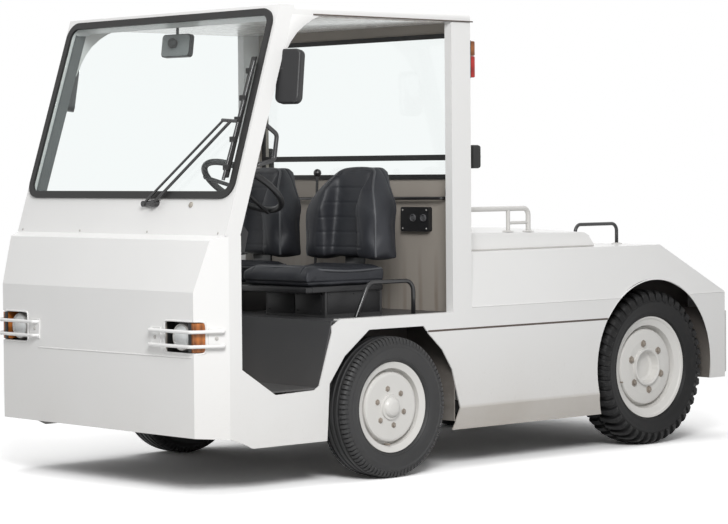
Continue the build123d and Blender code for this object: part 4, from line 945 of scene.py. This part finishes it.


# Roof gussets and ceiling
# The windscreen posts run into the roof's side rails in a broad curve. A ribbed beige board, brightened as painted
# light and with painted shade in its grooves, lines the roof, and a thin grey strip lies on the insides of the posts.
GUSSET = (
    (-1.171, 1.655), (-1.154, 1.686), (-1.138, 1.717), (-1.117, 1.749), (-1.085, 1.785), (-1.043, 1.817),
    (-1.000, 1.841), (-0.950, 1.8595), (-1.108, 1.8595),
)
POST_GREY_STRIP = ((-1.441, 1.012), (-1.388, 1.012), (-1.112, 1.857), (-1.166, 1.857))
# A thin dark grey strip lies on the inside front of each post
post_grey = grained("post_grey", (0.11, 0.12, 0.12), 0.5, 300, 0.0003)
for side, word in SIDES:
    gusset = pushed([(side * 0.652, y, z) for y, z in GUSSET], (side * 0.038, 0, 0))
    complete(bevelled(gusset, 0.002), f"{word}_roof_gusset", body_paint, "chassis", 30)
    grey_strip = pushed([(side * 0.6478, y, z) for y, z in POST_GREY_STRIP], (-side * 0.003, 0, 0))
    complete(bevelled(grey_strip, 0.001, 1), f"{word}_post_grey_strip", post_grey, "chassis")


def ribbed_board(name, colour, pitch):
    """Pressed board with ribs across the vehicle, uneven age stains and painted shade in the grooves."""
    material, place = new_material(name)
    ribs = place.maths("SINE", place.part("y") * (2 * pi / pitch))
    cloud = place.noise(4, 4)
    # Rib grooves are darkened as painted shade
    tone = cloud.between(darker(colour, 0.88), colour).over(darker(colour, 0.72), (ribs * -1).clamped() * 0.6)
    return glossy_finish(material, place, Base_Color=tone, Roughness=cloud * 0.1 + 0.22, Normal=ribs.bump(0.4, 0.004),
                         Specular_IOR_Level=0.9, Coat_Weight=0.8, Coat_Roughness=0.2)


# The lining's beige is raised close to white: painted light from below
lining = bar(-0.646, 0.646, -1.095, -0.242, 1.8545, 1.8588)
complete(lining, "ceiling_board", ribbed_board("ceiling_beige_painted_light", (0.92, 0.86, 0.81), 0.055), "chassis")


# Mirrors
# Flat silvered glass is pressed into each black housing. A pale shell on the far one is painted light, the inside
# mirror's back is grey plastic, and the inside mirror hangs from a ball joint.
SCREEN_FOOT_Y = -1.457
SCREEN_RAKE = 0.32
MIRROR_LEAN = -8


def screen_y(z):
    """The front of the windscreen at a height."""
    return SCREEN_FOOT_Y + (z - 1) * SCREEN_RAKE


MIRROR_Z = 1.614
MIRROR_Y = screen_y(MIRROR_Z) + 0.074 + 0.0395
# Place of each mirror and how far it is turned
LEFT = ((0.715, MIRROR_Y, MIRROR_Z), 20)
RIGHT = ((-0.715, MIRROR_Y, MIRROR_Z), -32)
INSIDE = ((-0.066, screen_y(1.894) + 0.074 + 0.016, 1.765), 6)
BALL_JOINT = ((0, -0.034), (0.012, -0.033), (0.019, -0.027), (0.022, -0.018), (0.017, -0.010), (0.017, 0))


def pane(width, height, corner, thick):
    """A flat plate with round corners, facing -Y from the origin."""
    points = []
    for cx, cz, first in ((1, 1, 0), (-1, 1, 90), (-1, -1, 180), (1, -1, 270)):
        for step in range(5):
            angle = radians(first + 22.5 * step)
            x = cx * (width / 2 - corner) + corner * cos(angle)
            points.append((x, 0, cz * (height / 2 - corner) + corner * sin(angle)))
    return bevelled(pushed(points, (0, thick, 0)), 0.001, 2, 60)


def seated(piece, place, turn, lean, shift):
    """Turn a piece about Z and X, and move it along its own Y."""
    turned_by = Matrix.Rotation(radians(turn), 4, "Z") @ Matrix.Rotation(radians(lean), 4, "X")
    return placed(piece, Matrix.Translation(place) @ turned_by @ Matrix.Translation((0, shift, 0)))


mirror_silver = bright_metal("mirror_silver", (0.86, 0.87, 0.87), 0.02)
# The pale shell over the far mirror's black housing is painted light
painted_light_shell = grained("painted_light_shell", (0.74, 0.75, 0.75), 0.4, 500, 0.0003, 0.1)
grey_plastic = grained("grey_plastic", (0.20, 0.21, 0.21), 0.4, 500, 0.0003, 0.1)
panes = [seated(pane(0.090, 0.196, 0.022, 0.003), *mirror, MIRROR_LEAN, 0.0172) for mirror in (LEFT, RIGHT)]
complete(joined(*panes), "side_mirror_glass", mirror_silver, "chassis")
for name, size, mirror, shift, finish in (
    ("far_mirror_shell", (0.094, 0.200, 0.024, 0.004), RIGHT, -0.0215, painted_light_shell),
    ("inside_mirror_glass", (0.150, 0.080, 0.014, 0.003), INSIDE, 0.0102, mirror_silver),
    ("inside_mirror_shell", (0.158, 0.088, 0.016, 0.004), INSIDE, -0.0145, grey_plastic),
):
    complete(seated(pane(*size), *mirror, MIRROR_LEAN, shift), name, finish, "chassis")
ball = lathed(BALL_JOINT, ORIGIN, "Y", 24)
seated(ball, (-0.070, INSIDE[0][1], 1.772), INSIDE[1], MIRROR_LEAN, -0.010)
complete(ball, "inside_mirror_joint", strip_black, "chassis", 50)


# Wiper blade
# A rubber blade in a steel claw frame, clipped to the wiper's arm and parked along the left edge of the
# windscreen
BLADE_FOOT_Z = 1.222
CLAW_HEIGHTS = (1.262, 1.370, 1.447, 1.530, 1.636)
foot_y = screen_y(1.228) - 0.022
section = ((0.615, foot_y), (0.637, foot_y), (0.637, foot_y + 0.014), (0.615, foot_y + 0.014))
blade = pushed([(x, y, BLADE_FOOT_Z) for x, y in section], (0, 0.150, 0.470))
claws = []
for z in CLAW_HEIGHTS:
    y = screen_y(z) - 0.024
    claws.append(bar(0.611, 0.641, y - 0.006, y + 0.012, z - 0.011, z + 0.011, 0.002))
complete(joined(bevelled(blade, 0.003), *claws), "wiper_blade", strip_black, "chassis")


# Rear lamps and work lamps of the door posts
# A plastic lamp in two colours, amber over red, is screwed to the back of each post on a black base. Under it an
# arm carries a rubber box with a clear round lamp.
# The red lens carries the same painted reflection in its bands
red = ribbed_amber("ribbed_red", (0.60, 0.028, 0.018), (0.30, 0.008, 0.006))
for side, word in SIDES:
    base = bar(side * 0.650, side * 0.688, -0.1300, -0.1220, 1.626, 1.784, 0.003)
    work = bar(side * 0.642, side * 0.690, -0.1140, -0.0660, 1.250, 1.348, 0.011)
    arm = bar(side * 0.658, side * 0.674, -0.1300, -0.1100, 1.285, 1.312, 0.003)
    complete(joined(base, work, arm), f"{word}_lamp_base", strip_black, "chassis", 32, ["rear_lamps"])
    for hue, plastic, foot, top in (("amber", amber, 1.7195, 1.781), ("red", red, 1.629, 1.7185)):
        lens = bar(side * 0.652, side * 0.686, -0.1225, -0.0965, foot, top, 0.005)
        complete(lens, f"{word}_rear_{hue}", plastic, "chassis")
    glass = [(0, 0.004), (0.010, 0.0035), (0.018, 0.001), (0.019, -0.003)]
    lens = lathed(glass, (side * 0.666, -0.0655, 1.300), "Y", 32)
    complete(lens, f"{word}_work_glass", fluted_glass_painted_reflection, "chassis", 50)


# Switch box, lever and pedals
# The box on the back wall has two round plastic sockets and a screw at each corner. The hand lever stands in a
# ribbed rubber boot, and the pedals have ribbed rubber pads.
BOX_FACE = -0.1722
SOCKET = (
    (0, -0.004), (0.008, -0.004), (0.009, -0.002), (0.011, -0.002), (0.0125, -0.007), (0.0150, -0.007), (0.0165, 0.001),
)
BOOT = (
    (0.0, 0.150), (0.008, 0.150), (0.014, 0.135), (0.010, 0.126), (0.020, 0.112), (0.015, 0.100), (0.027, 0.084),
    (0.021, 0.070), (0.034, 0.052), (0.028, 0.038), (0.044, 0.018), (0.050, 0.0), (0.0, 0.0),
)
# Place across and width of each pedal, and how far they lean
PEDALS = ((0.143, 0.060), (0.398, 0.060), (0.493, 0.046))
PEDAL_LEAN = -40
wall_sockets = [lathed(SOCKET, (x, BOX_FACE, 1.042), "Y", 32) for x in (0.383, 0.446)]
socket_grey = grained("socket_grey", (0.10, 0.10, 0.105), 0.35, 500, 0.0003)
complete(joined(*wall_sockets), "wall_sockets", socket_grey, "chassis", 40)
box_screws = [nut((x, BOX_FACE, z), (0, -1, 0), 0.004) for x in (0.318, 0.463) for z in (0.997, 1.075)]
complete(joined(*box_screws), "wall_box_screws", zinc, "chassis", 30)
complete(lathed(BOOT, (0, -0.400, 0.6485), "Z", 32), "lever_boot", rubber, "chassis", 50)
ribs = []
for x, width in PEDALS:
    half = width / 2 - 0.004
    for step in range(-3, 4):
        strip = bar(-half, half, 0.006, 0.010, step * 0.010 - 0.003, step * 0.010 + 0.003)
        ribs.append(seated(strip, (x, -1.346, 0.508), 0, PEDAL_LEAN, 0.0))
complete(joined(*ribs), "pedal_ribs", rubber, "chassis")


# Steering wheel centre and dials
# A black plastic horn button is pressed into the hub, and three round dials with plated rings sit in the
# instrument hood
STEER_CENTRE = (0.293, -1.038, 1.186)
STEER_LEAN = radians(35)
STEER_UP = (0, sin(STEER_LEAN), cos(STEER_LEAN))
BUTTON = ((0, 0.014), (0.012, 0.013), (0.024, 0.009), (0.031, 0.003), (0.033, -0.004), (0.033, -0.012))
DIAL = ((0, 0.002), (0.026, 0.002), (0.027, 0.005), (0.031, 0.006), (0.034, 0.002), (0.035, -0.002))
button = lathed(BUTTON, ORIGIN, "Z", 32)
complete(aimed(button, STEER_CENTRE, STEER_UP), "horn_button", strip_black, "steering_wheel", 50)
dials = []
for x in (0.203, 0.293, 0.383):
    dials.append(aimed(lathed(DIAL, ORIGIN, "Z", 40), (x, -1.2985, 1.079), (0, 0.952, 0.305)))
complete(joined(*dials), "dial_rings", zinc, "chassis", 40)


# Folds and rolled edges of the body sheets
# The side sheets are folded outwards along a line behind the cab, and the edges of the wheel arches are
# rolled, so both catch the light
FOLD_X = 0.6898
FOLD_Z = 0.6705
# Start and end of each fold along Y
FOLDS = ((-0.128, 0.806), (1.272, 1.520))
ARCH_X = 0.6885
ARCH_Z = 0.358
ARCH_RADIUS = 0.3885
for side, word in SIDES:
    folds = []
    for y0, y1 in FOLDS:
        folds.append(cord_along([(side * FOLD_X, y, FOLD_Z) for y in (y0, (y0 + y1) / 2, y1)], 0.0022))
    arc = []
    for angle in range(36, 181, 8):
        y = REAR_AXLE_Y - ARCH_RADIUS * cos(radians(angle))
        arc.append((side * ARCH_X, y, ARCH_Z + ARCH_RADIUS * sin(radians(angle))))
    complete(joined(*folds, cord_along(arc, 0.0028)), f"{word}_body_folds", body_paint, "chassis", 60)


# Dividers of the lamp pockets
# A wall of black rubber is pushed in between each headlamp and its turn lamp, and laps over the lens
for side, word in SIDES:
    divider = bar(side * 0.6040, side * 0.6225, -1.5755, -1.5690, 0.5555, 0.6695, 0.002)
    complete(divider, f"{word}_lamp_divider", rubber, "chassis")


# Cushion pans
# A shallow tray of black plastic under each cushion carries its foam. It is clipped over the seat box and
# hangs a little below the box's top.
PAN_TOP = 0.7755
for side, word in SIDES:
    middle = side * SEAT_X
    front = bar(middle - 0.208, middle + 0.208, -0.893, -0.786, 0.750, PAN_TOP, 0.009)
    left_lip = bar(middle + 0.199, middle + 0.210, -0.860, -0.470, 0.752, PAN_TOP, 0.004)
    right_lip = bar(middle - 0.210, middle - 0.173, -0.860, -0.470, 0.752, PAN_TOP, 0.006)
    complete(joined(front, left_lip, right_lip), f"{word}_cushion_pan", black_plastic, "chassis")


# Seat box doors
# Each box under a seat has two lift-off doors of black plastic with screws at their corners. The left one has a
# plate with three screws on its outer side too.
BOX_FRONT = -0.7845
BOX_SIDE = 0.5020
for side, word in SIDES:
    x0, x1 = sorted((side * 0.130, side * 0.500))
    middle = (x0 + x1) / 2
    fittings = [bar(start, end, BOX_FRONT, BOX_FRONT + 0.003, 0.660, 0.756)
                for start, end in ((x0 + 0.012, middle - 0.004), (middle + 0.004, x1 - 0.012))]
    for x in (x0 + 0.024, middle - 0.016, middle + 0.016, x1 - 0.024):
        fittings += [nut((x, BOX_FRONT, z), (0, -1, 0), 0.0045) for z in (0.674, 0.742)]
    if side > 0:
        fittings += [bar(BOX_SIDE - 0.0025, BOX_SIDE, -0.770, -0.480, 0.662, 0.756)]
        fittings += [nut((BOX_SIDE, y, 0.742), (1, 0, 0), 0.0045) for y in (-0.755, -0.625, -0.495)]
    complete(joined(*fittings), f"{word}_seat_box_doors", black_plastic, "chassis")


# Hoops and rails beside and behind the seats
# Bent steel tube, painted black, with its ends welded to the sheet. The right windscreen post has no grab
# handle.
hoops = copy_of("hand_hoops", "hoops")
bpy.ops.mesh.select_all(action="DESELECT")
edit_mode(False)
for corner in hoops.data.vertices:
    corner.select = corner.co.x < -0.60 and corner.co.z > 1.2
edit_mode()
bpy.ops.mesh.delete(type="VERT")
edit_mode(False)
complete(hoops, "steel_hoops", black_enamel, "chassis", 40, ["hand_hoops"])


# Feet of the hood rails and of the deck handle
# Small round flanges weld the tubes to the sheet. The rails' feet lift with the hood.
FLANGE = ((0.0, 0.006), (0.014, 0.006), (0.018, 0.0045), (0.024, 0.003), (0.026, 0.0), (0.0, 0.0))
RAIL_FEET = ((-0.070, 0.9795), (0.285, 0.974), (0.411, 0.972))


def flanges(places, name, body):
    """One piece of all the flanges at the given places."""
    feet = [lathed(FLANGE, place, "Z", 24) for place in places]
    complete(joined(*feet), name, rail_paint, body, 40)


flanges([(side * 0.500, y, z) for side in (1, -1) for y, z in RAIL_FEET], "rail_feet", "hood")
flanges([(0.410, y, 0.8985) for y in (0.812, 1.090)], "handle_feet", "chassis")


# End hook of the wall rail
# The rail behind the seats ends in a short arm of thinner rod, bent forward and up into a hook and welded on
HOOK_PATH = ((0.585, -0.170, 1.130), (0.600, -0.192, 1.150), (0.618, -0.192, 1.188), (0.628, -0.170, 1.196))
complete(cord_along(HOOK_PATH, 0.006), "rail_hook", black_enamel, "chassis", 60)


# Rear end: jaw screws and corner buffers
# The tow jaw's plate is held by six heavy nuts. A pale ribbed rubber strip covers each rear corner.
TAIL_FACE = 1.522
BUFFER_RIBS = 9

jaw_nuts = [nut((x, 1.5382, z), (0, 1, 0), 0.0125) for x in (-0.090, 0.090) for z in (0.305, 0.378, 0.455)]
complete(joined(*jaw_nuts), "jaw_nuts", nut_steel, "chassis", 30)
pale_rubber = grained("pale_rubber", (0.56, 0.56, 0.55), 0.5, 300, 0.0004, 0.1)
for side, word in SIDES:
    x0, x1 = sorted((side * 0.597, side * 0.6875))
    strip = bar(x0, x1, TAIL_FACE, TAIL_FACE + 0.0165, 0.298, 0.586, 0.007)
    ribs = []
    for step in range(BUFFER_RIBS):
        foot = 0.316 + 0.030 * step
        ribs.append(bar(x0 + 0.008, x1 - 0.008, TAIL_FACE + 0.014, TAIL_FACE + 0.0200, foot, foot + 0.014, 0.003))
    complete(joined(strip, *ribs), f"{word}_corner_buffer", pale_rubber, "chassis", 32, ["rear_buffers"])
